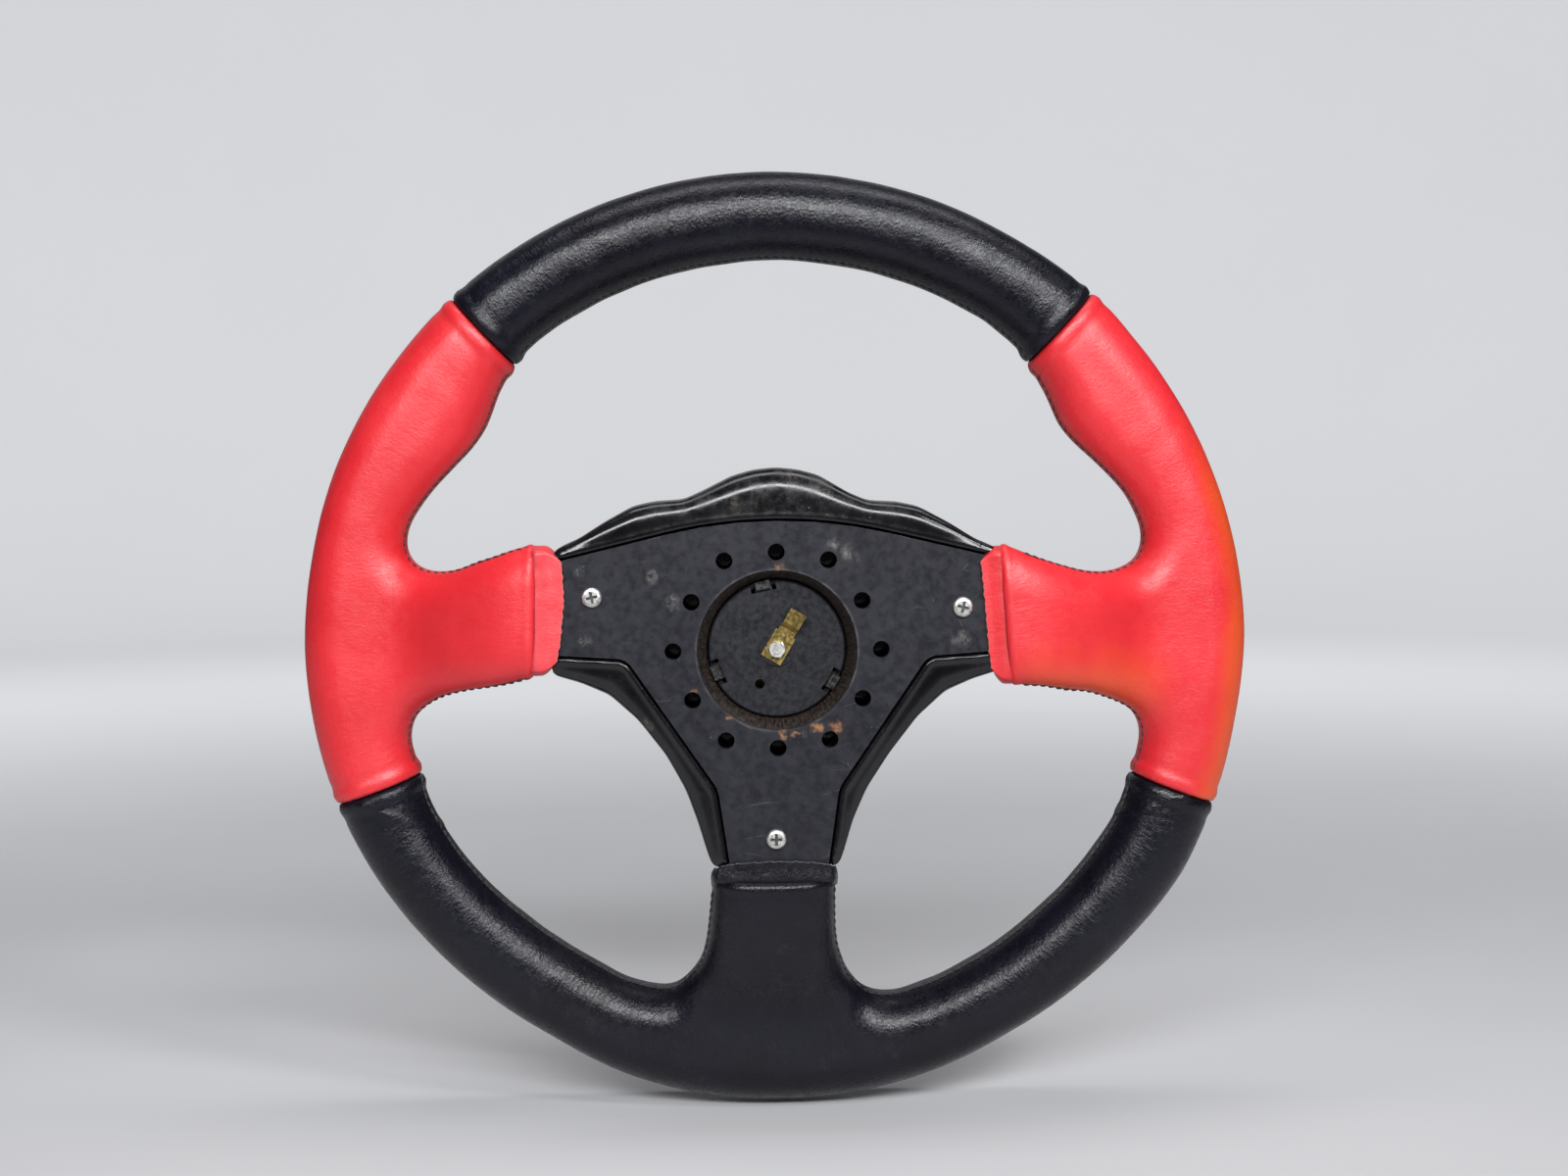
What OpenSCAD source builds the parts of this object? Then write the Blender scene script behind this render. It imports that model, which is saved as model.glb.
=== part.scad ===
// Three-spoke motorsport steering wheel with a horn button, seen from the column side at -Y.
// Units are millimetres. +Z is 12 o'clock, +Y points at the driver, and the origin is the
// centre of the hub bolt circles on the back face of the spider plate.

/* [Rim] */
// radius of the rim's centre line
rim_r = 158.2; // [140:0.1:190]
// radius of the wrapped grip, across the leather
tube_r = 15.8; // [12:0.1:20]
// distance from the hub face forward to the rim's centre plane
dish = 38; // [0:1:90]
// leather thickness
leather_t = 1.2; // [0.8:0.1:2]
// radius of the steel tube inside the rim
core_r = 5; // [4:0.5:8]
// wall of the steel ring, which is a bent tube
core_wall = 1.5; // [1:0.1:3]

/* [Colour panels] */
// angle of the upper seams above 3 o'clock
seam_top = 47.3; // [30:0.1:70]
// angle of the lower seams below 3 o'clock
seam_low = 20.7; // [10:0.1:60]

/* [Spider plate] */
// plate thickness
plate_t = 4; // [3:0.5:6]
// height of the plate's top edge at the middle
plate_top = 45.7; // [42:0.1:60]
// half width of the plate between the leather aprons
plate_side = 76; // [60:1:90]
// first bolt circle, six holes, one at 12 o'clock
pcd_a = 70; // [60:1:90]
// second bolt circle, six holes, turned by 30 degrees
pcd_b = 74; // [60:1:90]
// diameter of the hub bolt holes
bolt_hole_d = 6; // [5:0.1:7]

/* [Horn collar] */
// diameter of the opening at the back face
collar_back_d = 56; // [50:0.5:62]
// diameter of the opening at its deep end
collar_deep_d = 50.4; // [48:0.1:56]
// depth of the drawn collar
collar_depth = 9; // [6:0.5:14]
// wall of the drawn collar
collar_wall = 2; // [1.5:0.1:4]

/* [Cover] */
// wall of the moulded cover
cover_wall = 2.5; // [2:0.1:4]
// front face of the cover at the horn
cover_front = 26; // [20:1:34]
// gap between the plate's edge and the cover's lip
plate_gap = 0.7; // [0.3:0.1:1.5]

/* [Cover screws] */
// left, right and bottom screw centres, as seen from the back
screw_at = [[-65.5, 19.6], [66.1, 14.8], [-1, -67.6]];
// screw head diameter
screw_head_d = 7.2; // [6:0.1:9]
// screw shank diameter
screw_shank_d = 3.6; // [3:0.1:5]

/* [Horn button] */
// radius of the horn body
horn_r = 24.6; // [20:0.1:28]
// back face of the horn body
horn_back = 7.5; // [5:0.5:12]
// how far the button can be pressed
press = 2.3; // [1:0.1:4]
// radius of the button's visible face
button_r = 20.5; // [15:0.1:24]
// coils in the return spring
coils = 4; // [3:1:7]

/* [Hidden] */
$fn = 72;
big = 400;
eps = 0.01;
foam_gap = 0.1;
inner_r = tube_r - leather_t;
arm_slope = 0.49;
clip_angles = [102, 201, 329];

// ---------- helpers ----------

// a flat outline in X and Z, solid from y0 forward to y1
module slab(y0, y1) {
    translate([0, y1, 0]) rotate([90, 0, 0]) linear_extrude(height = y1 - y0) children();
}

// a profile of [radius, y], turned about the Y axis
module turned(fn = 96) {
    rotate([-90, 0, 0]) rotate_extrude($fn = fn) children();
}

// a round bar along Y
module post(r, y0, y1, x = 0, z = 0, fn = 48) {
    translate([x, y1, z]) rotate([90, 0, 0]) cylinder(r = r, h = y1 - y0, $fn = fn);
}

// part of the rim, with the tube profile drawn about the rim's centre line
module rim_arc(a0, a1) {
    rotate([90, 0, 0]) rotate([0, 0, a0]) rotate_extrude(angle = a1 - a0, $fn = 144)
        translate([rim_r, -dish]) children();
}

// a point on a smooth curve between b and c
function between(a, b, c, d, t) = 0.5 * (2 * b + (c - a) * t
    + (2 * a - 5 * b + 4 * c - d) * t * t + (3 * b - a - 3 * c + d) * t * t * t);

// a smooth curve through points, n steps a span, without the last point
function curve(p, n) = [for (i = [0:len(p) - 2], j = [0:n - 1])
    between(p[max(i - 1, 0)], p[i], p[i + 1], p[min(i + 2, len(p) - 1)], j / n)];

// the points in reverse with X mirrored
function mirrored(p) = [for (i = [len(p) - 1:-1:0]) [-p[i][0], p[i][1]]];

// corners [x, z, radius] rounded into an outline
function unit(v) = v / norm(v);
function corner_arc(a, b, c, r, n = 6) =
    let (u = unit(a - b), v = unit(c - b), half = acos(u * v) / 2, cut = r / tan(half),
        m = b + unit(u + v) * r / sin(half), s = b + u * cut - m, e = b + v * cut - m,
        turn = acos(max(-1, min(1, unit(s) * unit(e)))),
        way = s[0] * e[1] - s[1] * e[0] > 0 ? 1 : -1)
    [for (k = [0:n]) let (t = way * turn * k / n)
        m + [s[0] * cos(t) - s[1] * sin(t), s[0] * sin(t) + s[1] * cos(t)]];
function rounded(p) = [for (i = [0:len(p) - 1])
    let (k = len(p), a = p[(i + k - 1) % k], b = p[i], c = p[(i + 1) % k])
    each b[2] > 0 ? corner_arc([a[0], a[1]], [b[0], b[1]], [c[0], c[1]], b[2])
        : [[b[0], b[1]]]];

// a solid through rings of points, each ring with the same count
module loft(rings) {
    n = len(rings[0]);
    last = len(rings) - 1;
    pts = [for (r = rings, p = r) p];
    sides = [for (i = [0:last - 1], j = [0:n - 1])
        [i * n + j, (i + 1) * n + j, (i + 1) * n + (j + 1) % n, i * n + (j + 1) % n]];
    caps = [[for (j = [0:n - 1]) j], [for (j = [n - 1:-1:0]) last * n + j]];
    polyhedron(points = pts, faces = concat(sides, caps), convexity = 6);
}

// ---------- spoke grips ----------

// station [out, z_low, z_high, y_back, y_front] along a side spoke
side_stations = [[84, -6.5, 35.5, -2.6, 11.5], [85.6, -9.2, 37.8, -4.2, 14], [93, -11.8, 36.8, -4.1, 18],
    [103, -13.8, 34.2, -0.6, 23.4], [113, -15.2, 31.2, 4.6, 29.2], [122, -17.5, 28.6, 10.2, 34.4],
    [130, -23.5, 29.6, 15.6, 39.6], [137, -32, 36, 20, 43.6], [146, -40, 43, 24.6, 47.5],
    [153, -38, 41, 28.6, 46.6]];
// station [down, left, right, y_back, y_front] along the bottom spoke
bottom_stations = [[75.5, -20.5, 20.5, -1.3, 10.5], [78, -22.3, 22.3, -1.9, 12.6],
    [84.5, -22.9, 22.9, -4.6, 14.6], [95, -22.9, 22.9, -3.2, 19.6], [106, -23.2, 23.2, 2.2, 26],
    [115, -24.6, 24.6, 7.4, 31.6], [123, -28.6, 28.6, 12.6, 36.4], [130, -35, 35, 17, 40.4],
    [137, -42, 42, 20.6, 43.6], [146, -45, 45, 24.8, 47.4], [153, -42, 42, 28.8, 46.4]];

// an oval ring in a plane across the spoke, grown by g
function power(v, e) = sign(v) * pow(abs(v), e);
function oval(s, g, n = 28) =
    let (y = (s[3] + s[4]) / 2, hy = (s[4] - s[3]) / 2 + g, z = (s[1] + s[2]) / 2,
        hz = (s[2] - s[1]) / 2 + g)
    [for (k = [0:n - 1]) let (t = 360 * (k + 0.5) / n)
        [s[0], y + hy * power(cos(t), 0.72), z + hz * power(sin(t), 0.72)]];
function shifted(s, d) = [for (i = [0:len(s) - 1]) i == 0 ? s[0] + d : s[i]];

module side_grip(g, start = 0) {
    loft([for (i = [0:len(side_stations) - 1])
        oval(i == 0 ? shifted(side_stations[0], start) : side_stations[i], g)]);
}

module bottom_grip(g, start = 0) {
    rotate([0, 90, 0]) loft([for (i = [0:len(bottom_stations) - 1])
        oval(i == 0 ? shifted(bottom_stations[0], start) : bottom_stations[i], g)]);
}

// ---------- spider plate ----------

// right-hand corners of the plate, from the top spoke edge down to the bottom spoke
function plate_corners(g) = [[84, 30.8 + g, 0], [84, -0.6 - g, 0], [53.6 - 0.6 * g, -2.6 - g, 7],
    [21.6 + g, -49.6 - 0.4 * g, 12], [17.2 + g, -80, 0]];

// the whole plate outline, grown by g: a wide arc on top and the corners mirrored
module plate_outline(g = 0) {
    right = plate_corners(g);
    left = [for (i = [len(right) - 1:-1:0]) [-right[i][0], right[i][1], right[i][2]]];
    polygon(rounded(concat([[0, plate_top + 5.2 + g, 172]], right, left)));
}

// side profile of a spoke arm: flat at the hub, then bent forward to the rim's steel ring
module arm_profile(grow = 0) {
    bend = 82;
    tip = 156;
    rise = arm_slope * (tip - bend);
    polygon([[60, -grow], [bend + grow, -grow], [tip, rise - grow * 1.1],
        [tip, rise + plate_t * 1.1 + grow * 1.1], [bend - plate_t * 0.5 - grow, plate_t + grow],
        [60, plate_t + grow]]);
}

// seen from the back, the side arm narrows to stay inside the grip
module side_arm(grow = 0) {
    intersection() {
        translate([0, 0, -1 - grow]) linear_extrude(height = 32 + 2 * grow) arm_profile(grow);
        slab(-20, 80) polygon([[60, -2 - grow], [88, -2 - grow], [100, -grow], [big, -grow],
            [big, 20 + grow], [100, 22 + grow], [88, 29 + grow], [84, 32 + grow], [60, 32 + grow]]);
    }
}

module bottom_arm(grow = 0) {
    rotate([0, 90, 0]) translate([0, 0, -17 - grow]) linear_extrude(height = 34 + 2 * grow)
        arm_profile(grow);
}

module arms(grow = 0) {
    intersection() {
        side_arm(grow);
        translate([80, -big / 2, -big / 2]) cube(big);
    }
    mirror([1, 0, 0]) intersection() {
        side_arm(grow);
        translate([80, -big / 2, -big / 2]) cube(big);
    }
    intersection() {
        bottom_arm(grow);
        translate([-big / 2, -big / 2, -big - 78]) cube(big);
    }
}

module spider_plate() {
    color([0.13, 0.13, 0.14]) difference() {
        union() {
            slab(0, plate_t) plate_outline();
            arms();
            // drawn collar around the horn
            turned() polygon([[collar_back_d / 2 - 2, 0.5], [collar_back_d / 2 + 2, 0.5],
                [collar_back_d / 2 + 2, plate_t], [collar_deep_d / 2 + collar_wall, collar_depth],
                [collar_deep_d / 2 - 1, collar_depth]]);
        }
        // the opening: a small rounded lip and a tapering wall
        turned() polygon([[0, -1], [collar_back_d / 2 + 1.2, -1], [collar_back_d / 2 + 0.5, 0.2],
            [collar_back_d / 2, 1.2], [collar_deep_d / 2, collar_depth + eps],
            [collar_deep_d / 2, collar_depth + 2], [0, collar_depth + 2]]);
        for (k = [0:5]) {
            post(bolt_hole_d / 2, -1, plate_t + 1, pcd_a / 2 * sin(60 * k), pcd_a / 2 * cos(60 * k));
            post(bolt_hole_d / 2, -1, plate_t + 1, pcd_b / 2 * sin(60 * k + 30),
                pcd_b / 2 * cos(60 * k + 30));
        }
        for (p = screw_at) post(screw_shank_d / 2 + 0.5, -1, plate_t + 1, p[0], p[1]);
        // seat on the steel ring
        rim_arc(0, 360) circle(r = core_r + 0.05, $fn = 36);
        slab(-10, dish + 20) difference() {
            circle(r = rim_r + 20);
            circle(r = rim_r - 2);
        }
    }
}

module rim_core() {
    color([0.42, 0.42, 0.44]) rim_arc(0, 360) difference() {
        circle(r = core_r, $fn = 36);
        circle(r = core_r - core_wall, $fn = 36);
    }
}

// ---------- foam and leather ----------

module grip_foam() {
    color([0.2, 0.19, 0.18]) difference() {
        union() {
            rim_arc(0, 360) circle(r = inner_r - foam_gap);
            side_grip(-leather_t - foam_gap, leather_t + foam_gap);
            mirror([1, 0, 0]) side_grip(-leather_t - foam_gap, leather_t + foam_gap);
            bottom_grip(-leather_t - foam_gap, leather_t + foam_gap);
        }
        rim_arc(0, 360) circle(r = core_r + foam_gap, $fn = 36);
        arms(foam_gap);
        slab(-0.2, 14.1) translate([-60, -80.4]) square([120, 60]);
    }
}

module leather_tube(a0, a1) {
    rim_arc(a0, a1) difference() {
        circle(r = tube_r);
        circle(r = inner_r);
    }
}

module leather_top() {
    color([0.05, 0.05, 0.055]) leather_tube(seam_top + 0.05, 180 - seam_top - 0.05);
}

// the right-hand panel: rim, spoke grip, and the thin apron that laps over the plate
module side_leather() {
    difference() {
        union() {
            rim_arc(-seam_low + 0.05, seam_top - 0.05) circle(r = tube_r);
            side_grip(0);
            slab(-1.3, -0.1) polygon(rounded([[plate_side, -4.5, 1.5], [90, -5, 0],
                [90, 34, 0], [plate_side - 0.8, 33.5, 1.5]]));
        }
        rim_arc(-seam_low - 1, seam_top + 1) circle(r = inner_r);
        side_grip(-leather_t, leather_t);
        arms(0.1);
        slab(-0.1, 14) translate([60, -60]) square([24, 120]);
    }
}

module leather_right() {
    color([0.78, 0.06, 0.09]) side_leather();
}

module leather_left() {
    color([0.78, 0.06, 0.09]) mirror([1, 0, 0]) side_leather();
}

module leather_bottom() {
    color([0.05, 0.05, 0.055]) difference() {
        union() {
            rim_arc(180 + seam_low + 0.05, 360 - seam_low - 0.05) circle(r = tube_r);
            bottom_grip(0);
        }
        rim_arc(180 + seam_low - 1, 360 - seam_low + 1) circle(r = inner_r);
        bottom_grip(-leather_t, leather_t);
        arms(0.1);
        slab(-0.1, 14) translate([-60, -80.2]) square([120, 60]);
    }
}

// ---------- stitching ----------

// one run of waxed thread laid on the inner side of the grip, a little toward the back
module thread(a0, a1) {
    rim_arc(a0, a1) rotate(-162) translate([tube_r + 0.46, 0]) circle(r = 0.45, $fn = 16);
}

module stitching_top() {
    color([0.03, 0.03, 0.03]) thread(seam_top + 0.4, 180 - seam_top - 0.4);
}

module stitching_left() {
    color([0.03, 0.03, 0.03]) {
        thread(180 - seam_top + 0.4, 164);
        thread(193.5, 180 + seam_low - 0.4);
    }
}

module stitching_right() {
    color([0.03, 0.03, 0.03]) {
        thread(16, seam_top - 0.4);
        thread(0.4 - seam_low, -13.5);
    }
}

module stitching_bottom() {
    color([0.03, 0.03, 0.03]) {
        thread(180 + seam_low + 0.4, 251);
        thread(289, 360 - seam_low - 0.4);
    }
}

// ---------- cover ----------

// right half of the cover's outline, from the top down
cover_top = [[0, 64.8], [8, 64], [15.6, 61.9], [26.2, 55.6], [33, 52.6], [43.5, 52], [51.2, 50.4],
    [61.5, 44.8], [71, 38.8], [78.6, 35.6]];
cover_low = [[80.2, -8], [70, -11.2], [60, -15.8], [50, -24.6], [40, -37.4], [32, -49.6],
    [26.6, -61.4], [23.4, -72], [19.6, -76.6]];
cover_half = concat(curve(cover_top, 3), [[79.4, 35], [80, 31], [80.4, 14], [80.6, -4]],
    curve(cover_low, 3), [[19, -77]]);
cover_edge = concat(mirrored([for (i = [1:len(cover_half) - 1]) cover_half[i]]), cover_half);

// the outline drawn in toward the hub by d
function inward(d) = [for (p = cover_edge) let (k = 1 - d / norm(p)) [p[0] * k, p[1] * k]];

// the part of a hollow that the screw bosses and the wall round the horn leave free
module hollow(d) {
    difference() {
        polygon(inward(d));
        for (p = screw_at) translate([p[0], p[1]]) circle(r = 4.6, $fn = 48);
        difference() {
            circle(r = 31, $fn = 96);
            circle(r = 26, $fn = 96);
        }
    }
}

// [how far drawn in, from, to]: the cover's skin in layers, rolled at the back and the front
cover_layers = [[11, 0.4, 1.5], [7, 0.8, 2.5], [4.2, 1.8, 4.5], [2.2, 3.6, 7], [0.8, 6, 11],
    [0, 9, 18.5], [1.2, 17, 21.5], [3.4, 20.5, 24], [7, 23, 25.3], [11, 24.5, cover_front]];

module spoke_cover() {
    color([0.03, 0.03, 0.035]) difference() {
        for (l = cover_layers) slab(l[1], l[2]) polygon(inward(l[0]));
        // hollow inside, wider in the middle of its depth
        slab(plate_t, 11.5) polygon(inward(12.6));
        slab(10.5, 20) hollow(5.6);
        slab(19.4, cover_front - cover_wall) hollow(13.3);
        // recess that the plate lies in, open at the three spokes
        slab(-6, plate_t + 0.35) union() {
            plate_outline(plate_gap);
            translate([76, -40]) square([14, 100]);
            translate([-90, -40]) square([14, 100]);
            translate([-17.2 - plate_gap, -90]) square([34.4 + 2 * plate_gap, 20]);
        }
        for (p = screw_at) post(screw_shank_d / 2 + 0.05, 0, cover_front - 8, p[0], p[1]);
        post(28.5, -8, cover_front + 5, fn = 96);
    }
}

module cover_screws() {
    color([0.75, 0.75, 0.72]) for (p = screw_at) translate([p[0], 0, p[1]]) difference() {
        union() {
            turned(48) polygon([[0, -1.9], [0.66 * screw_head_d / 2, -1.85],
                [0.86 * screw_head_d / 2, -1.65], [0.96 * screw_head_d / 2, -1.3],
                [screw_head_d / 2, -0.8], [screw_head_d / 2, -0.05], [0, -0.05]]);
            post(screw_shank_d / 2, -0.1, 14, fn = 32);
            translate([0, 16, 0]) rotate([90, 0, 0]) cylinder(r1 = 0.6, r2 = screw_shank_d / 2, h = 2, $fn = 32);
        }
        // cross recess
        for (a = [p[0] / 5, 90 + p[0] / 5]) rotate([0, a, 0]) translate([-2.1, -2.6, -0.5])
            cube([4.2, 1.9, 1]);
    }
}

// ---------- horn button ----------

module horn_body() {
    color([0.04, 0.04, 0.045]) difference() {
        turned() polygon([[0, horn_back - 0.8], [6.2, horn_back - 0.8], [6.2, horn_back],
            [horn_r - 0.6, horn_back], [horn_r, horn_back + 0.6], [horn_r, 26.1], [30.4, 26.1],
            [30.4, 28], [22.8, 28], [22.8, 10], [6, 10], [6, 18], [0, 18]]);
        // hole for the terminal screw
        post(1.6, 0, 30, fn = 32);
        // notches for the spring clips
        for (a = clip_angles) rotate([0, -a, 0]) translate([21, 6, -4.6]) cube([5, 5, 9.2]);
        post(1.75, 5, 12, -6.3, -12.7, fn = 32);
    }
}

// spring-steel ring on the floor, with three fingers that reach through it and grip the collar
module clip_ring() {
    color([0.6, 0.6, 0.6]) {
        slab(10.05, 10.55) difference() {
            union() {
                circle(r = 11.5, $fn = 64);
                for (a = clip_angles) rotate(a) translate([9, -3]) square([13.5, 6]);
            }
            circle(r = 6.4, $fn = 48);
        }
        for (a = clip_angles) rotate([0, -a, 0]) {
            translate([21.9, 6.8, -2.8]) cube([0.5, 3.5, 5.6]);
            translate([22.15, 6.9, -2.6]) cube([2.65, 0.5, 5.2]);
        }
    }
}

module terminal_screw() {
    color([0.72, 0.72, 0.7]) difference() {
        union() {
            post(1.5, 2.9, 18.2, fn = 32);
            post(2.9, 18.05, 19.8, fn = 32);
        }
        translate([-2, 19, -0.4]) cube([4, 2, 0.8]);
    }
}

// brass blade under the nut, its tip bent up toward the back
module horn_terminal() {
    color([0.7, 0.55, 0.22]) difference() {
        rotate([0, -59, 0]) union() {
            translate([-4.6, 5.85, -4]) cube([10.8, 0.8, 8]);
            translate([5, 5.85, -3.15]) cube([3.4, 0.8, 6.3]);
            translate([0, 0, -3.15]) linear_extrude(height = 6.3)
                polygon([[8, 5.85], [8.4, 6.65], [10.4, 4.65], [15.4, 4.25], [15.4, 3.45], [10, 3.85]]);
        }
        post(1.65, 0, 12, fn = 32);
    }
}

module terminal_nut() {
    color([0.75, 0.75, 0.72]) rotate([0, 12, 0]) difference() {
        intersection() {
            translate([0, 5.8, 0]) rotate([90, 0, 0]) cylinder(r = 3.18, h = 2.4, $fn = 6);
            turned(48) polygon([[0, 3.4], [2.7, 3.4], [3.3, 3.8], [3.3, 5.8], [0, 5.8]]);
        }
        post(1.55, 0, 12, fn = 32);
    }
}

// compression spring around the middle pillar
module return_spring() {
    wire = 0.6;
    r = 8.4;
    y0 = 10.6 + wire + 0.05;
    y1 = 22.2 - wire - 0.1;
    steps = 20 * coils;
    color([0.7, 0.7, 0.7]) loft([for (i = [0:steps]) let (a = 360 * i / 20, y = y0 + (y1 - y0) * i / steps)
        [for (k = [0:7]) let (t = -45 * k, d = r + wire * cos(t))
            [d * cos(a), y + wire * sin(t), d * sin(a)]]]);
}

module contact_plate() {
    color([0.66, 0.62, 0.5]) difference() {
        post(19.4, 22.2, 23.1, fn = 96);
        for (k = [0:2]) post(1.4, 20, 25, 14 * cos(120 * k + 30), 14 * sin(120 * k + 30), fn = 24);
    }
}

// the button: a shouldered cup whose posts are staked through the contact plate
module horn_cap() {
    color([0.05, 0.05, 0.055]) {
        turned() polygon(concat([[20.2, 23.2], [22.4, 23.2], [22.4, 27.9], [button_r, 27.9],
            [button_r, 30.4]], [for (k = [0:8]) [button_r - 1.4 + 1.4 * cos(11.25 * k), 30.6 + 1.2 * sin(11.25 * k)]],
            [[12, 32.6], [0, 33], [0, 30.6], [18.4, 29.4], [20.2, 27]]));
        for (k = [0:2]) {
            x = 14 * cos(120 * k + 30);
            z = 14 * sin(120 * k + 30);
            post(2.6, 23.15, 30.4, x, z, fn = 24);
            post(1.3, 21.8, 23.5, x, z, fn = 24);
            post(2.3, 21.5, 22.1, x, z, fn = 24);
        }
    }
}

module horn_bezel() {
    color([0.1, 0.1, 0.11]) turned() polygon(concat([[20.9, 28.1], [30.7, 28.1], [30.7, 26.3],
        [32.2, 26.3], [32.2, 28.6]], [for (k = [0:6]) [30.4 + 1.8 * cos(15 * k), 28.9 + 1.8 * sin(15 * k)]],
        [[22.6, 30.2], [20.9, 29.2]]));
}

// ---------- parts ----------

spider_plate();
rim_core();
grip_foam();
leather_top();
leather_left();
leather_right();
leather_bottom();
stitching_top();
stitching_left();
stitching_right();
stitching_bottom();
spoke_cover();
cover_screws();
horn_body();
clip_ring();
terminal_screw();
horn_terminal();
terminal_nut();
return_spring();
contact_plate();
horn_cap();
horn_bezel();
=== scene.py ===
import math

import bpy
import numpy as np
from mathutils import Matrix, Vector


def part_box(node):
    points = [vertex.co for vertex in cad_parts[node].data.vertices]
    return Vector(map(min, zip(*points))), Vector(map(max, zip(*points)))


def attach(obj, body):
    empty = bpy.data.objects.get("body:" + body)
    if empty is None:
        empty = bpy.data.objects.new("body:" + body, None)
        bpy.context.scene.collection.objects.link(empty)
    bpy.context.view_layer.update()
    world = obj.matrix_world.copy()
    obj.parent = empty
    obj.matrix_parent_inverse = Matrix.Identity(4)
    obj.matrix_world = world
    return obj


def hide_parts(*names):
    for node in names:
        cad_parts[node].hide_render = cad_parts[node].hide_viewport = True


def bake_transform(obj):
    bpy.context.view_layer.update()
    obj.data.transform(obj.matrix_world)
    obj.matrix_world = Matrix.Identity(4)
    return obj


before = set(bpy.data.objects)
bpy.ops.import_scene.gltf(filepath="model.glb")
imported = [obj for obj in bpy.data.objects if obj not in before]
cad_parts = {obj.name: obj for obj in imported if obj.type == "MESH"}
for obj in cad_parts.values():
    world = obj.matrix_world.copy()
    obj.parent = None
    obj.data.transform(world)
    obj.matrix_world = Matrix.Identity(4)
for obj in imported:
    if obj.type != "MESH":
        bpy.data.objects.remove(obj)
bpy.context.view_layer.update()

import openvdb
from mathutils import Matrix, Vector

MM = 0.001
scene = bpy.context.scene

# ---------------------------------------------------------------- sizes, in mm

DISH = 38.0          # the rim's centre plane
TUBE = 15.7          # half width of the wrapped rim
SPOKE_EDGE = 15.0    # width over which a spoke grip rounds off
SEAM_TOP = 47.3      # seams, in degrees above and below 3 o'clock
SEAM_LOW = 20.9
SEAM_LOW_LEFT = 19.8
VOXEL = 1.05

# outer radius of the rim against the angle round from 3 o'clock
OUTER = [(0, 174.9), (10, 174.5), (20, 174.1), (30, 173.8), (40, 173.6), (45, 174.2), (50, 173.7),
         (60, 172.8), (70, 172.9), (80, 172.7), (90, 173.0), (100, 173.1), (110, 173.3),
         (120, 173.6), (130, 174.1), (140, 174.1), (150, 174.6), (160, 174.7), (170, 174.3),
         (180, 174.7), (190, 174.4), (200, 174.2), (205, 173.8), (210, 173.4), (220, 172.2),
         (230, 171.3), (240, 170.7), (250, 172.6), (260, 173.2), (270, 173.0), (280, 173.1),
         (290, 172.9), (300, 172.1), (310, 172.9), (320, 174.0), (325, 175.0), (330, 175.8),
         (335, 175.2), (340, 174.8), (350, 174.1), (360, 174.9)]

# edges of the three openings, x and z, from the hub outward
UPPER_RIGHT = [(84, 35.6), (89, 33.6), (94.1, 31.7), (96.9, 30.6), (100, 29.5), (103.4, 28.6),
               (107.5, 27.3), (112.7, 26), (119, 25.4), (126.3, 26), (133.3, 28.8), (136.2, 34.8),
               (135.7, 41.7), (132.7, 48), (129.9, 53.3), (126.2, 57.5), (122.8, 61.1),
               (119.4, 64.3), (116.3, 67.5), (112.9, 70.3), (109.5, 74), (105.4, 78.8), (100, 92),
               (89.4, 108.4)]
UPPER_LEFT = [(-84, 38.6), (-90, 37.4), (-95.6, 35.9), (-97.7, 35.2), (-100, 34.3),
              (-102.6, 33.3), (-105.5, 32.9), (-110, 30.8), (-116.4, 28.5), (-124.4, 27.6),
              (-132, 29.5), (-136.2, 34.8), (-135.7, 41.7), (-132.8, 48), (-129, 53.1),
              (-125.6, 57.3), (-122.3, 60.9), (-119.1, 64), (-116.2, 67.3), (-112.8, 70.2),
              (-109.5, 74.2), (-105.7, 80.4), (-100, 95.2), (-89.1, 109.7)]
UPPER_MIDDLE = [(77.5, 118.2), (62.8, 126.2), (49.7, 131.7), (38.1, 135.4), (27.6, 137.8),
                (17.9, 139.1), (8.9, 140.3)]
LOWER_RIGHT = [(80, -13.0), (88.7, -13.9), (94.6, -14.3), (100, -15.5), (104.9, -16.9),
               (110.2, -17), (115.3, -18.5), (120.5, -20.6), (126.1, -23.1), (132, -26.5),
               (135.5, -32.1), (135.8, -38.7), (133.8, -45), (131.9, -50.6), (130.4, -56.1),
               (128.7, -61.5), (126.3, -67), (123, -72.4), (119.1, -78.1), (114.3, -84.3),
               (108.2, -91.7), (100, -99.8), (88.6, -109.5), (78.2, -117.1), (72, -120.6),
               (66.9, -123.4), (62.4, -125.7), (58.1, -127.7), (53.9, -129.3), (49.5, -130.6),
               (45, -132.4), (40.1, -132.6), (35, -132.3), (30.7, -129.8), (27.5, -125.8),
               (25.2, -121.6), (23.3, -117.5), (22.2, -113.3), (21, -109.2), (20.6, -105),
               (20.2, -100.6), (20.2, -96), (20.1, -90.6), (20.3, -84.2), (20.8, -76.3)]
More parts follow.
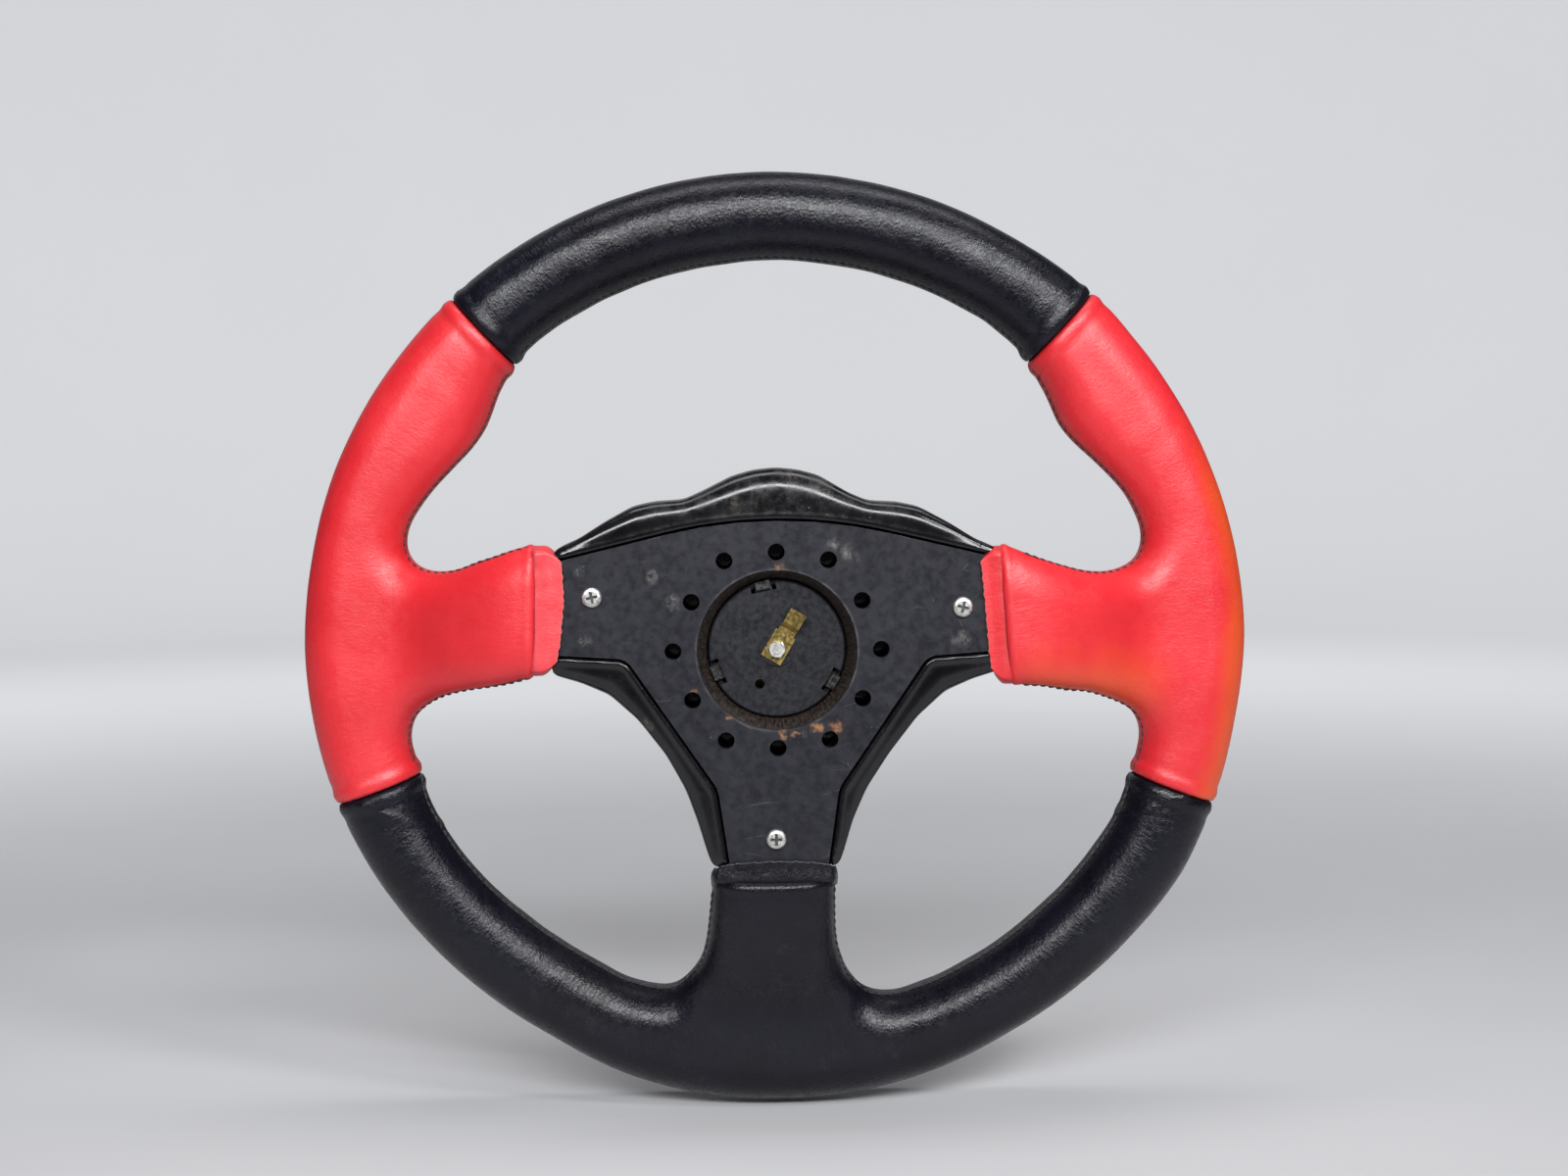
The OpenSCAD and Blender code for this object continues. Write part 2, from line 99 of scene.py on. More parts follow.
LOWER_LEFT = [(-80, -8.1), (-86.9, -8.9), (-94, -11.1), (-100, -12.4), (-105.6, -13.3),
              (-111.2, -14.3), (-116.9, -15.7), (-122.8, -17.9), (-128.3, -21.2),
              (-133.7, -25.6), (-135.9, -31.9), (-135.7, -38.7), (-132.6, -45), (-131.2, -50.5),
              (-130.6, -56.1), (-128.2, -61.3), (-125.5, -66.4), (-122.3, -71.6),
              (-118.7, -77.3), (-113.9, -83.2), (-107.9, -90), (-100, -97.5), (-89.2, -106.1),
              (-81.7, -111.5), (-74.8, -115.8), (-69.5, -119.2), (-64.9, -121.7),
              (-61.1, -124.2), (-57.2, -126), (-53.1, -127.3), (-49.1, -128.4), (-45, -129.1),
              (-40.7, -129.3), (-36.9, -127.2), (-34.1, -123.9), (-31.8, -120.7),
              (-29.9, -117.7), (-28.4, -114.6), (-27.6, -111.3), (-26.8, -108.2),
              (-26.4, -105), (-26, -101.6), (-25.5, -97.9), (-25.1, -93.5), (-24.6, -87.9),
              (-23.4, -78.1)]

# back and front faces of the grips against the distance from the hub, along a spoke
REACH = [74, 84.5, 88, 93, 98, 103, 113, 122, 130, 137, 146, 158]
BACK = [-4.3, -4.5, -4.5, -4.0, -2.6, -0.6, 4.6, 10.1, 15.0, 18.9, 21.7, DISH - TUBE]
FRONT = [11.5, 13.8, 15.4, 18.2, 20.6, 23.4, 29.2, 34.6, 40.4, 46.2, 51.2, DISH + TUBE]

# where the fold of a grip's hub end lies, and where its thin apron is cut
FOLD_LEFT, FOLD_RIGHT, FOLD_BOTTOM = 85.2, 80.4, 82.4

# the plate's corners and the cover's outline, as in the CAD
PLATE = [(84, 30.8, 0), (84, -0.6, 0), (53.6, -2.6, 7), (21.6, -49.6, 12), (17.2, -80, 0)]
PLATE_PEAK = (0, 50.9, 172)
COVER_TOP = [(0, 64.8), (8, 64), (15.6, 61.9), (26.2, 55.6), (33, 52.6), (43.5, 52),
             (51.2, 50.4), (61.5, 44.8), (71, 38.8), (78.6, 35.6)]
COVER_LOW = [(80.4, 31), (80.5, 14), (80.2, -8), (70, -11.2), (60, -15.8), (50, -24.6),
             (40, -37.4), (32, -49.6), (26.6, -61.4), (23.4, -72), (21.4, -77.6), (18.4, -78)]

# ---------------------------------------------------------------- curves and fields


def closed_curve(points, step, sigma):
    """A closed outline resampled every step mm and smoothed over sigma mm."""
    p = np.array(points, float)
    p = np.vstack([p, p[:1]])
    s = np.r_[0, np.cumsum(np.hypot(*np.diff(p, axis=0).T))]
    n = int(s[-1] / step)
    t = np.arange(n) * s[-1] / n
    z = np.interp(t, s, p[:, 0]) + 1j * np.interp(t, s, p[:, 1])
    f = np.fft.fftfreq(n, s[-1] / n)
    z = np.fft.ifft(np.fft.fft(z) * np.exp(-2 * (math.pi * f * sigma) ** 2))
    return np.c_[z.real, z.imag]


def outline_distance(poly, x, z):
    """Distance to a closed outline, positive inside it."""
    a, b = poly, np.roll(poly, -1, axis=0)
    px, pz = x.ravel(), z.ravel()
    best = np.full(px.shape, 1e9)
    inside = np.zeros(px.shape, bool)
    for (ax, az), (bx, bz) in zip(a, b):
        ex, ez = bx - ax, bz - az
        wx, wz = px - ax, pz - az
        t = np.clip((wx * ex + wz * ez) / (ex * ex + ez * ez + 1e-12), 0, 1)
        np.minimum(best, (wx - t * ex) ** 2 + (wz - t * ez) ** 2, out=best)
        if az != bz:
            hit = (az > pz) != (bz > pz)
            inside ^= hit & (wx < ex * wz / ez)
    d = np.sqrt(best)
    return np.where(inside, d, -d).reshape(x.shape)


def blurred(a, sigma):
    """A field smoothed over sigma cells in both directions."""
    n = int(3 * sigma + 1)
    k = np.exp(-0.5 * (np.arange(-n, n + 1) / sigma) ** 2)
    k /= k.sum()
    for axis in (0, 1):
        pad = [(n, n) if i == axis else (0, 0) for i in (0, 1)]
        b = np.pad(a, pad, mode="edge")
        a = sum(w * np.take(b, range(i, i + a.shape[axis]), axis) for i, w in enumerate(k))
    return a


class Map:
    """A field over x and z that can be read between its cells."""

    def __init__(self, x, z, values):
        self.x0, self.z0, self.h, self.v = x[0], z[0], x[1] - x[0], values

    def __call__(self, x, z):
        u, w = (np.asarray(x, float) - self.x0) / self.h, (np.asarray(z, float) - self.z0) / self.h
        i = np.clip(np.floor(u).astype(int), 0, self.v.shape[0] - 2)
        j = np.clip(np.floor(w).astype(int), 0, self.v.shape[1] - 2)
        u, w = u - i, w - j
        v = self.v
        return ((1 - u) * (1 - w) * v[i, j] + u * (1 - w) * v[i + 1, j]
                + (1 - u) * w * v[i, j + 1] + u * w * v[i + 1, j + 1])


def smoothstep(a, b, x):
    t = np.clip((x - a) / (b - a), 0, 1)
    return t * t * (3 - 2 * t)


def smooth_table(xs, ys, sigma=3.5, step=0.5):
    """A table resampled finely with its corners rounded."""
    x = np.arange(xs[0], xs[-1] + 60, step)
    y = np.interp(x, xs, ys)
    k = np.exp(-0.5 * (np.arange(-4 * sigma, 4 * sigma + step, step) / sigma) ** 2)
    pad = len(k) // 2
    return x, np.convolve(np.pad(y, pad, mode="edge"), k / k.sum(), "valid")[:len(x)]


def smooth_max(a, b, k):
    return np.maximum(a, b) + np.maximum(k - np.abs(a - b), 0) ** 2 / (4 * k)


def smooth_min(a, b, k):
    return -smooth_max(-a, -b, k)


def corner_arc(a, b, c, r, n=8):
    """Points that round the corner b of an outline with radius r."""
    a, b, c = (np.array(p[:2], float) for p in (a, b, c))
    u, v = (a - b) / np.linalg.norm(a - b), (c - b) / np.linalg.norm(c - b)
    half = math.acos(np.clip(u @ v, -1, 1)) / 2
    cut = r / math.tan(half)
    m = b + (u + v) / np.linalg.norm(u + v) * r / math.sin(half)
    s, e = b + u * cut - m, b + v * cut - m
    t0, t1 = math.atan2(s[1], s[0]), math.atan2(e[1], e[0])
    turn = (t1 - t0 + math.pi) % (2 * math.pi) - math.pi
    return [tuple(m + r * np.array([math.cos(t0 + turn * k / n), math.sin(t0 + turn * k / n)]))
            for k in range(n + 1)]


def rounded(corners):
    out = []
    for i, b in enumerate(corners):
        a, c = corners[i - 1], corners[(i + 1) % len(corners)]
        out += corner_arc(a, b, c, b[2], 24 if b[2] > 100 else 8) if b[2] else [b[:2]]
    return out


def mirror(points):
    return [(-p[0], *p[1:]) for p in reversed(points)]


# ---------------------------------------------------------------- meshes


def skin(field, low, h):
    """Points and quads on the zero of a field that is negative inside."""
    grid = openvdb.FloatGrid(3.0)
    grid.copyFromArray(np.ascontiguousarray(field, dtype=np.float32))
    pts, quads = grid.convertToQuads(isovalue=0.0)
    return pts.astype(float) * h + np.array(low), quads.astype(int)


def relaxed(pts, quads, rounds=2, amount=0.4):
    """The points with the finest steps of the voxels smoothed out."""
    for k in range(rounds * 2):
        total, count = np.zeros_like(pts), np.zeros(len(pts))
        for i in range(4):
            a, b = quads[:, i], quads[:, (i + 1) % 4]
            for p, q in ((a, b), (b, a)):
                count += np.bincount(p, minlength=len(pts))
                for c in range(3):
                    total[:, c] += np.bincount(p, pts[q, c], minlength=len(pts))
        move = total / np.maximum(count, 1)[:, None] - pts
        pts = pts + move * (amount if k % 2 == 0 else -amount * 1.03)
    return pts


def mesh_object(name, pts, faces, smooth=True):
    """A new object from points in mm."""
    me = bpy.data.meshes.new(name)
    me.from_pydata((np.asarray(pts, float) * MM).tolist(), [], np.asarray(faces).tolist()
                   if isinstance(faces, np.ndarray) else faces)
    me.validate()
    me.polygons.foreach_set("use_smooth", [smooth] * len(me.polygons))
    me.update()
    ob = bpy.data.objects.new(name, me)
    scene.collection.objects.link(ob)
    return ob


def paint(ob, name, values):
    """Stores a number from 0 to 1 at each point, for the material to read."""
    att = ob.data.attributes.new(name, "FLOAT", "POINT")
    att.data.foreach_set("value", np.asarray(values, np.float32))


def place(ob, slot, *nodes):
    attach(ob, "wheel")
    if nodes:
        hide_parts(*nodes)
    return ob


# ---------------------------------------------------------------- the wrapped rim as one field

outer_curve = []
table_a, table_r = np.array(OUTER).T
for a in np.arange(0, 360, 1.0):
    r = np.interp(a, table_a, table_r) - 0.3
    outer_curve.append((r * math.cos(math.radians(a)), r * math.sin(math.radians(a))))
outer_curve = closed_curve(outer_curve, 2.5, 3.5)

openings = [
    closed_curve(UPPER_RIGHT + UPPER_MIDDLE + [(0, 140.7)] + mirror(UPPER_MIDDLE)
                 + UPPER_LEFT[::-1] + [(-66, 41.5), (0, 50), (66, 41)], 1.8, 2.6),
    closed_curve(LOWER_RIGHT + [(21.5, -66), (30, -50), (50, -20), (66, -12.2)], 1.8, 2.6),
    closed_curve(LOWER_LEFT + [(-22.4, -66), (-30, -50), (-50, -20), (-66, -8.2)], 1.8, 2.6),
]

gx = np.arange(-186, 187, 2.0)
GX, GZ = np.meshgrid(gx, gx, indexing="ij")
edge = outline_distance(outer_curve, GX, GZ)
for curve in openings:
    edge = np.minimum(edge, -outline_distance(curve, GX, GZ))
near_edge, inner = blurred(edge, 0.6), blurred(edge, 2.0)
edge_map = Map(gx, gx, near_edge + (inner - near_edge) * smoothstep(4.0, 14.0, edge))


BACK_TABLE, FRONT_TABLE = smooth_table(REACH, BACK), smooth_table(REACH, FRONT)


def section(x, z):
    """Half width of the edge rounding, back face, front face and sharpness of the grip there."""
    r = np.hypot(x, z)
    beside = np.where(np.abs(x) > 60, np.abs(z - 12), 200)
    below = np.where(z < -60, np.abs(x + 2), 200)
    near = np.maximum(1 - smoothstep(25, 70, beside), 1 - smoothstep(12, 56, below))
    spoke = (1 - smoothstep(116, 156, r)) * near
    reach = np.where(beside < below, np.abs(x), -z)
    back = np.interp(reach, *BACK_TABLE)
    front = np.interp(reach, *FRONT_TABLE)
    back = spoke * back + (1 - spoke) * (DISH - TUBE)
    front = spoke * front + (1 - spoke) * (DISH + TUBE)
    w = TUBE + (SPOKE_EDGE - TUBE) * spoke
    return w, back, front, 2 + 0.2 * spoke


def body_field(x, y, z, edge_d):
    """Signed distance, roughly, to the wrapped rim and grips; x, z and edge_d are flat maps."""
    w, back, front, p = (a[:, None, :] for a in section(x, z))
    centre, half = (back + front) / 2, (front - back) / 2
    a = (w - np.minimum(edge_d[:, None, :], w)) / w
    b = np.abs(y[None, :, None] - centre) / half
    f = ((a ** p + b ** p) ** (1 / p) - 1) * np.minimum(w, half)
    lumps = (np.sin(x * 0.21 + np.sin(z * 0.13) * 1.3)[:, None, :]
             * np.sin(z * 0.19 + np.sin(x * 0.11) * 1.7)[:, None, :]
             * np.sin(y * 0.17 + 0.6)[None, :, None])
    return f + 0.12 * lumps


def seam_side(x, z, angle, sign):
    """Distance past a seam plane, positive outside the panel."""
    t = math.radians(angle)
    return sign * (z * math.cos(t) - x * math.sin(t))


PANELS = {
    # name: (box x0, x1, z0, z1), seams as (angle, sign)
    "leather_top": ((-128, 128, 92, 180), [(SEAM_TOP, -1), (180 - SEAM_TOP, 1)]),
    "leather_right": ((72, 180, -72, 134), [(SEAM_TOP, 1), (-SEAM_LOW, -1)]),
    "leather_left": ((-180, -72, -72, 134), [(180 - SEAM_TOP, -1), (180 + SEAM_LOW_LEFT, 1)]),
    "leather_bottom": ((-170, 170, -180, -44), [(180 + SEAM_LOW_LEFT, -1), (-SEAM_LOW, 1)]),
}


def spoke_end(name, x, z):
    """Distance past the fold at the hub end of a grip, positive outside, or None."""
    if name == "leather_right":
        return (FOLD_RIGHT - 0.075 * (z - 12)) - x
    if name == "leather_left":
        return x + (FOLD_LEFT - 0.022 * (z - 14))
    if name == "leather_bottom":
        return z + FOLD_BOTTOM - 0.0012 * (x + 2) ** 2
    return None


def panel_mesh(name, h, shrink=0.0):
    (x0, x1, z0, z1), seams = PANELS[name]
    xs, zs = np.arange(x0, x1 + h, h), np.arange(z0, z1 + h, h)
    ys = np.arange(-8, 58, h)
    x, z = np.meshgrid(xs, zs, indexing="ij")
    f = body_field(x, ys, z, edge_map(x, z)) + shrink
    for angle, sign in seams:
        g = seam_side(x, z, angle, sign)
        if not shrink:
            bead = 0.42 * np.exp(-((g + 3.2) / 1.4) ** 2) - 0.2 * np.exp(-((g + 6.4) / 1.6) ** 2)
            if name in ("leather_top", "leather_bottom"):
                bead -= 0.25 * np.exp(-(g / 1.4) ** 2)
            f = f - (bead * (np.abs(g) < 14))[:, None, :]
        # only the seam on this side of the wheel counts
        near = (x * math.cos(math.radians(angle)) + z * math.sin(math.radians(angle))) > 0
        g = np.where(near, g + 0.05 + shrink, -60.0)
        f = smooth_max(f, g[:, None, :], 1.5)
    end = spoke_end(name, x, z)
    if end is not None:
        near = np.hypot(x, z) < 120
        if not shrink:
            f = f - (0.4 * np.exp(-((end + 2.6) / 1.3) ** 2) * (np.abs(end) < 12))[:, None, :]
        f = smooth_max(f, np.where(near, end + shrink, -60.0)[:, None, :], 3.2)
    pts, quads = skin(f, (x0, -8, z0), h)
    return relaxed(pts, quads), quads


def nearest_seam(name, x, z):
    g = [np.abs(seam_side(x, z, a, s)) for a, s in PANELS[name][1]]
    return np.min(g, axis=0)


# ---------------------------------------------------------------- node-based materials


class Nodes:
    """A short way to write a material's nodes."""

    def __init__(self, name):
        self.mat = bpy.data.materials.new(name)
        self.mat.use_nodes = True
        self.tree = self.mat.node_tree
        self.shader = self.tree.nodes["Principled BSDF"]
        self.space = self.add("ShaderNodeTexCoord").outputs["Object"]
        scale = self.add("ShaderNodeVectorMath", operation="SCALE")
        scale.inputs["Scale"].default_value = 1000
        self.link(self.space, scale.inputs[0])
        self.mm = scale.outputs[0]
        self.bumps = None

    def add(self, kind, **settings):
        n = self.tree.nodes.new(kind)
        for k, v in settings.items():
            setattr(n, k, v)
        return n

    def link(self, a, b):
        self.tree.links.new(a, b)

    def put(self, socket, value):
        if isinstance(value, bpy.types.NodeSocket):
            self.link(value, socket)
        else:
            socket.default_value = value

    def math(self, op, a, b=0.0, c=None, clamp=False):
        n = self.add("ShaderNodeMath", operation=op, use_clamp=clamp)
        self.put(n.inputs[0], a)
        self.put(n.inputs[1], b)
        if c is not None:
            self.put(n.inputs[2], c)
        return n.outputs[0]

    def ramp(self, value, low, high, to_low=0.0, to_high=1.0):
        n = self.add("ShaderNodeMapRange", interpolation_type="SMOOTHSTEP")
        self.put(n.inputs["Value"], value)
        n.inputs["From Min"].default_value = low
        n.inputs["From Max"].default_value = high
        n.inputs["To Min"].default_value = to_low
        n.inputs["To Max"].default_value = to_high
        return n.outputs["Result"]

    def noise(self, scale, detail=3.0, rough=0.55, distortion=0.0, vector=None, offset=None):
        n = self.add("ShaderNodeTexNoise")
        v = vector or self.mm
        if offset:
            m = self.add("ShaderNodeVectorMath", operation="ADD")
            self.link(v, m.inputs[0])
            m.inputs[1].default_value = offset
            v = m.outputs[0]
        self.link(v, n.inputs["Vector"])
        n.inputs["Scale"].default_value = scale
        n.inputs["Detail"].default_value = detail
        n.inputs["Roughness"].default_value = rough
        n.inputs["Distortion"].default_value = distortion
        return n.outputs["Fac"]

    def cells(self, scale, feature="F1", vector=None, smooth=None):
        n = self.add("ShaderNodeTexVoronoi", feature=feature)
        self.link(vector or self.mm, n.inputs["Vector"])
        n.inputs["Scale"].default_value = scale
        if smooth is not None:
            n.inputs["Smoothness"].default_value = smooth
        return n.outputs["Distance"]

    def warped(self, scale, amount):
        """Coordinates pushed about by noise, in mm."""
        n = self.add("ShaderNodeTexNoise")
        self.link(self.mm, n.inputs["Vector"])
        n.inputs["Scale"].default_value = scale
        n.inputs["Detail"].default_value = 2
        c = self.add("ShaderNodeVectorMath", operation="SUBTRACT")
        self.link(n.outputs["Color"], c.inputs[0])
        c.inputs[1].default_value = (0.5, 0.5, 0.5)
        s = self.add("ShaderNodeVectorMath", operation="SCALE")
        self.link(c.outputs[0], s.inputs[0])
        s.inputs["Scale"].default_value = amount
        a = self.add("ShaderNodeVectorMath", operation="ADD")
        self.link(self.mm, a.inputs[0])
        self.link(s.outputs[0], a.inputs[1])
        return a.outputs[0]

    def stretched(self, factors, vector=None):
        m = self.add("ShaderNodeVectorMath", operation="MULTIPLY")
        self.link(vector or self.mm, m.inputs[0])
        m.inputs[1].default_value = factors
        return m.outputs[0]

    def mix(self, factor, a, b):
        n = self.add("ShaderNodeMix", data_type="RGBA")
        self.put(n.inputs[0], factor)
        self.put(n.inputs[6], (*a, 1) if isinstance(a, tuple) else a)
        self.put(n.inputs[7], (*b, 1) if isinstance(b, tuple) else b)
        return n.outputs[2]

    def parts(self):
        n = self.add("ShaderNodeSeparateXYZ")
        self.link(self.mm, n.inputs[0])
        return n.outputs

    def reading(self, name):
        return self.add("ShaderNodeAttribute", attribute_name=name).outputs["Fac"]

    def spot(self, x, z, radius, soft=0.5):
        """1 near a point of the back face, falling to 0 at a ragged radius, in mm."""
        if not hasattr(self, "ragged"):
            self.ragged = self.add("ShaderNodeSeparateXYZ")
            self.link(self.warped(0.3, 5), self.ragged.inputs[0])
        p = self.ragged.outputs
        dx, dz = self.math("SUBTRACT", p[0], x), self.math("SUBTRACT", p[2], z)
        d = self.math("SQRT", self.math("ADD", self.math("MULTIPLY", dx, dx),
                                        self.math("MULTIPLY", dz, dz)))
        return self.ramp(d, radius * soft, radius, 1.0, 0.0)

    def bump(self, height, depth, strength=1.0):
        n = self.add("ShaderNodeBump")
        n.inputs["Strength"].default_value = strength
        n.inputs["Distance"].default_value = depth * MM
        self.link(height, n.inputs["Height"])
        if self.bumps:
            self.link(self.bumps, n.inputs["Normal"])
        self.bumps = n.outputs["Normal"]

    def done(self, colour, rough, metallic=0.0, specular=0.5, coat=0.0, coat_rough=0.1, sheen=0.0):
        s = self.shader
        self.put(s.inputs["Base Color"], (*colour, 1) if isinstance(colour, tuple) else colour)
        self.put(s.inputs["Roughness"], rough)
        self.put(s.inputs["Metallic"], metallic)
        s.inputs["Specular IOR Level"].default_value = specular
        s.inputs["Coat Weight"].default_value = coat
        s.inputs["Coat Roughness"].default_value = coat_rough
        s.inputs["Sheen Weight"].default_value = sheen
        if self.bumps:
            self.link(self.bumps, s.inputs["Normal"])
        return self.mat


def leather_material(name, base, pore, bright, red):
    n = Nodes(name)
    grain = n.cells(0.85 if not red else 1.0, "SMOOTH_F1", n.warped(0.5, 1.1), 0.35)
    fine = n.noise(2.6, 3, 0.6)
    folds = n.noise(0.16, 4, 0.6, 0.8)
    wide = n.noise(0.03, 3, 0.5)
    tint = n.mix(n.ramp(wide, 0.3, 0.7), base, bright)
    tint = n.mix(n.ramp(grain, 0.45, 0.85, 0.0, 0.35 if not red else 0.1), tint, pore)
    p = n.parts()
    if red:
        # orange where the dye has faded on the right, toward the outside of the rim
        radius = n.math("SQRT", n.math("ADD", n.math("MULTIPLY", p[0], p[0]),
                                       n.math("MULTIPLY", p[2], p[2])))
        out = n.math("ADD", radius, n.math("MULTIPLY", n.noise(0.03, 2), 14))
        out = n.math("ADD", out, n.math("MULTIPLY", p[2], -0.06))
        right = n.math("MULTIPLY", n.ramp(out, 167, 179), n.ramp(p[0], 60, 100))
        right = n.math("MULTIPLY", right, n.ramp(p[2], 92, 48))
        low = n.math("MULTIPLY", n.ramp(n.math("ADD", p[2], n.math("MULTIPLY", n.noise(0.05), 18)),
                                        14, -6), n.ramp(p[0], 80, 98))
        low = n.math("MULTIPLY", low, n.math("MULTIPLY", n.ramp(p[2], -34, -20),
                                             n.ramp(p[0], 150, 124)))
        fade = n.math("MAXIMUM", right, n.math("MULTIPLY", low, 0.8))
        tint = n.mix(n.math("MULTIPLY", fade, 0.8), tint, (0.72, 0.085, 0.006))
        # a little grime rubbed into the skin
        grime = n.ramp(n.noise(0.11, 6, 0.72, offset=(40, 7, 3)), 0.64, 0.8, 0, 0.4)
        tint = n.mix(grime, tint, (0.16, 0.02, 0.012))
    else:
        dust = n.ramp(n.noise(0.5, 8, 0.8, offset=(3, 19, 8)), 0.66, 0.82, 0, 0.3)
        tint = n.mix(dust, tint, (0.045, 0.043, 0.04))
        # scuffs on the bottom spoke and the lowest part of the rim
        scuff = n.math("MULTIPLY", n.ramp(p[2], -70, -100), n.ramp(n.noise(0.09, 7, 0.75,
                       offset=(9, 2, 31)), 0.55, 0.75, 0, 0.4))
        tint = n.mix(scuff, tint, (0.030, 0.029, 0.031))
    # dark line where the panels meet and painted shade in the fold at a grip's hub end; pale fibres
    # where the hide was cut
    tint = n.mix(n.reading("seam_line_and_fold_shade"), tint, (0.012, 0.004, 0.004) if red else (0.004, 0.004, 0.004))
    # the left and bottom aprons painted paler, in soft patches
    tint = n.mix(n.math("MULTIPLY", n.reading("pale_tint"), n.ramp(n.noise(0.2, 4), 0.3, 0.7, 0.5, 1.0)),
                 tint, (0.72, 0.10, 0.12) if red else (0.016, 0.016, 0.019))
    cut = n.math("MULTIPLY", n.reading("raw"), n.ramp(n.noise(1.1, 4, 0.7), 0.35, 0.55, 0.25, 1.0))
    tint = n.mix(cut, tint, (0.45, 0.16, 0.13) if red else (0.028, 0.025, 0.023))
    rough = n.ramp(n.noise(0.25, 5, 0.6), 0.3, 0.75, 0.25 if not red else 0.37,
                   0.38 if not red else 0.49)
    rough = n.math("ADD", rough, n.math("MULTIPLY", n.ramp(grain, 0.4, 0.85), 0.1))
    n.bump(folds, 0.4 if not red else 0.3, 0.4)
    # fine creases across the rim
    turn = n.math("MULTIPLY", n.math("ARCTAN2", p[2], p[0]), 150)
    v = n.add("ShaderNodeCombineXYZ")
    n.link(turn, v.inputs[0])
    n.link(n.math("MULTIPLY", p[1], 0.25), v.inputs[1])
    distance = n.math("SQRT", n.math("ADD", n.math("MULTIPLY", p[0], p[0]),
                                     n.math("MULTIPLY", p[2], p[2])))
    n.link(n.math("MULTIPLY", distance, 0.25), v.inputs[2])
    crease = n.noise(0.62, 2.5, 0.55, 0.7, vector=v.outputs[0])
    crease = n.ramp(n.math("ABSOLUTE", n.math("SUBTRACT", crease, 0.5)), 0.0, 0.075)
    n.bump(crease, 0.032 if not red else 0.02, 1.0)
    n.bump(grain, -0.09 if not red else -0.05, 0.75 if not red else 0.6)
    n.bump(fine, 0.04, 0.5)
    return n.done(tint, rough, specular=0.37 if not red else 0.75)


def plate_material():
    n = Nodes("plate_black")
    p = n.parts()
    radius = n.math("SQRT", n.math("ADD", n.math("MULTIPLY", p[0], p[0]),
                                   n.math("MULTIPLY", p[2], p[2])))
    wide = n.noise(0.045, 5, 0.65)
    tint = n.mix(n.ramp(wide, 0.3, 0.7), (0.0085, 0.0086, 0.0130), (0.0130, 0.0133, 0.0190))
    film = n.ramp(n.noise(0.2, 7, 0.75, offset=(11, 5, 2)), 0.5, 0.75, 0, 0.28)
    tint = n.mix(film, tint, (0.034, 0.034, 0.040))
    # pale specks and a few scratches
    speck = n.ramp(n.noise(1.15, 3, 0.6, offset=(2, 7, 91)), 0.72, 0.77)
    area = n.ramp(n.noise(0.06, 3, 0.5, offset=(21, 0, 4)), 0.45, 0.62)
    speck = n.math("MULTIPLY", speck, area)
    tint = n.mix(speck, tint, (0.33, 0.32, 0.29))
    line = n.cells(0.05, "DISTANCE_TO_EDGE", n.stretched((0.5, 1, 1.6), n.warped(0.02, 30)))
    line = n.math("MULTIPLY", n.ramp(line, 0.0, 0.006, 1, 0),
                  n.ramp(n.noise(0.08, 2, offset=(1, 1, 50)), 0.55, 0.62))
    tint = n.mix(n.math("MULTIPLY", line, 0.5), tint, (0.12, 0.12, 0.125))
    # rust and chipped paint round the holes and the collar
    blots = None
    for x, z, r in ((0.7, 28.8, 3.0), (-17.4, -24.1, 1.8), (14, -28, 2.8), (21, -27.6, 3.2),
                    (-30.5, -14.5, 2.4), (2, -30.4, 2.2), (6, -30, 1.6)):
        s = n.spot(x, z, r, 0.2)
        blots = s if blots is None else n.math("MAXIMUM", blots, s)
    blots = n.math("MULTIPLY", blots, n.ramp(n.noise(0.42, 4, 0.7), 0.38, 0.6))
    tint = n.mix(n.math("MULTIPLY", blots, 0.8), tint, (0.34, 0.16, 0.07))
    chips = None
    for x, z, r in ((26, 34, 4.5), (-37, 17.5, 4), (-68, 4.5, 3.2), (66, 3.2, 4.5),
                    (-69, 29, 2.4), (-44, 27, 3), (20, 37, 3.4), (9, -30, 2)):
        s = n.spot(x, z, r, 0.1)
        chips = s if chips is None else n.math("MAXIMUM", chips, s)
    chips = n.math("MULTIPLY", chips, n.ramp(n.noise(0.3, 6, 0.8, offset=(5, 5, 5)), 0.38, 0.66))
    tint = n.mix(n.math("MULTIPLY", chips, 0.55), tint, (0.30, 0.29, 0.27))
    # the drawn wall of the collar: brown, scored along its depth
    turn = n.math("ARCTAN2", p[2], p[0])
    v = n.add("ShaderNodeCombineXYZ")
    n.link(n.math("MULTIPLY", turn, 36), v.inputs[0])
    n.link(n.math("MULTIPLY", p[1], 0.25), v.inputs[1])
    score = n.noise(1.0, 4, 0.65, vector=v.outputs[0])
    wall = n.math("MULTIPLY", n.ramp(radius, 28.7, 28.2), n.ramp(p[1], 0.3, 1.2))
    tint = n.mix(wall, tint, n.mix(n.ramp(score, 0.35, 0.7), (0.007, 0.0055, 0.005),
                                   (0.055, 0.039, 0.030)))
    # painted highlight: a soft bright line round the edge of the opening
    lip = n.math("MULTIPLY", n.ramp(radius, 29.6, 28.9), n.ramp(radius, 28.2, 28.7))
    tint = n.mix(n.math("MULTIPLY", lip, n.ramp(n.noise(0.12, 4), 0.4, 0.6, 0.1, 0.5)), tint,
                 (0.10, 0.095, 0.09))
    rough = n.ramp(n.noise(0.3, 5, 0.65, offset=(0, 9, 0)), 0.3, 0.7, 0.32, 0.52)
    n.bump(n.noise(1.6, 3, 0.6), 0.03, 0.7)
    n.bump(n.math("MULTIPLY", wall, score), 0.2, 0.8)
    return n.done(tint, rough, specular=0.4)


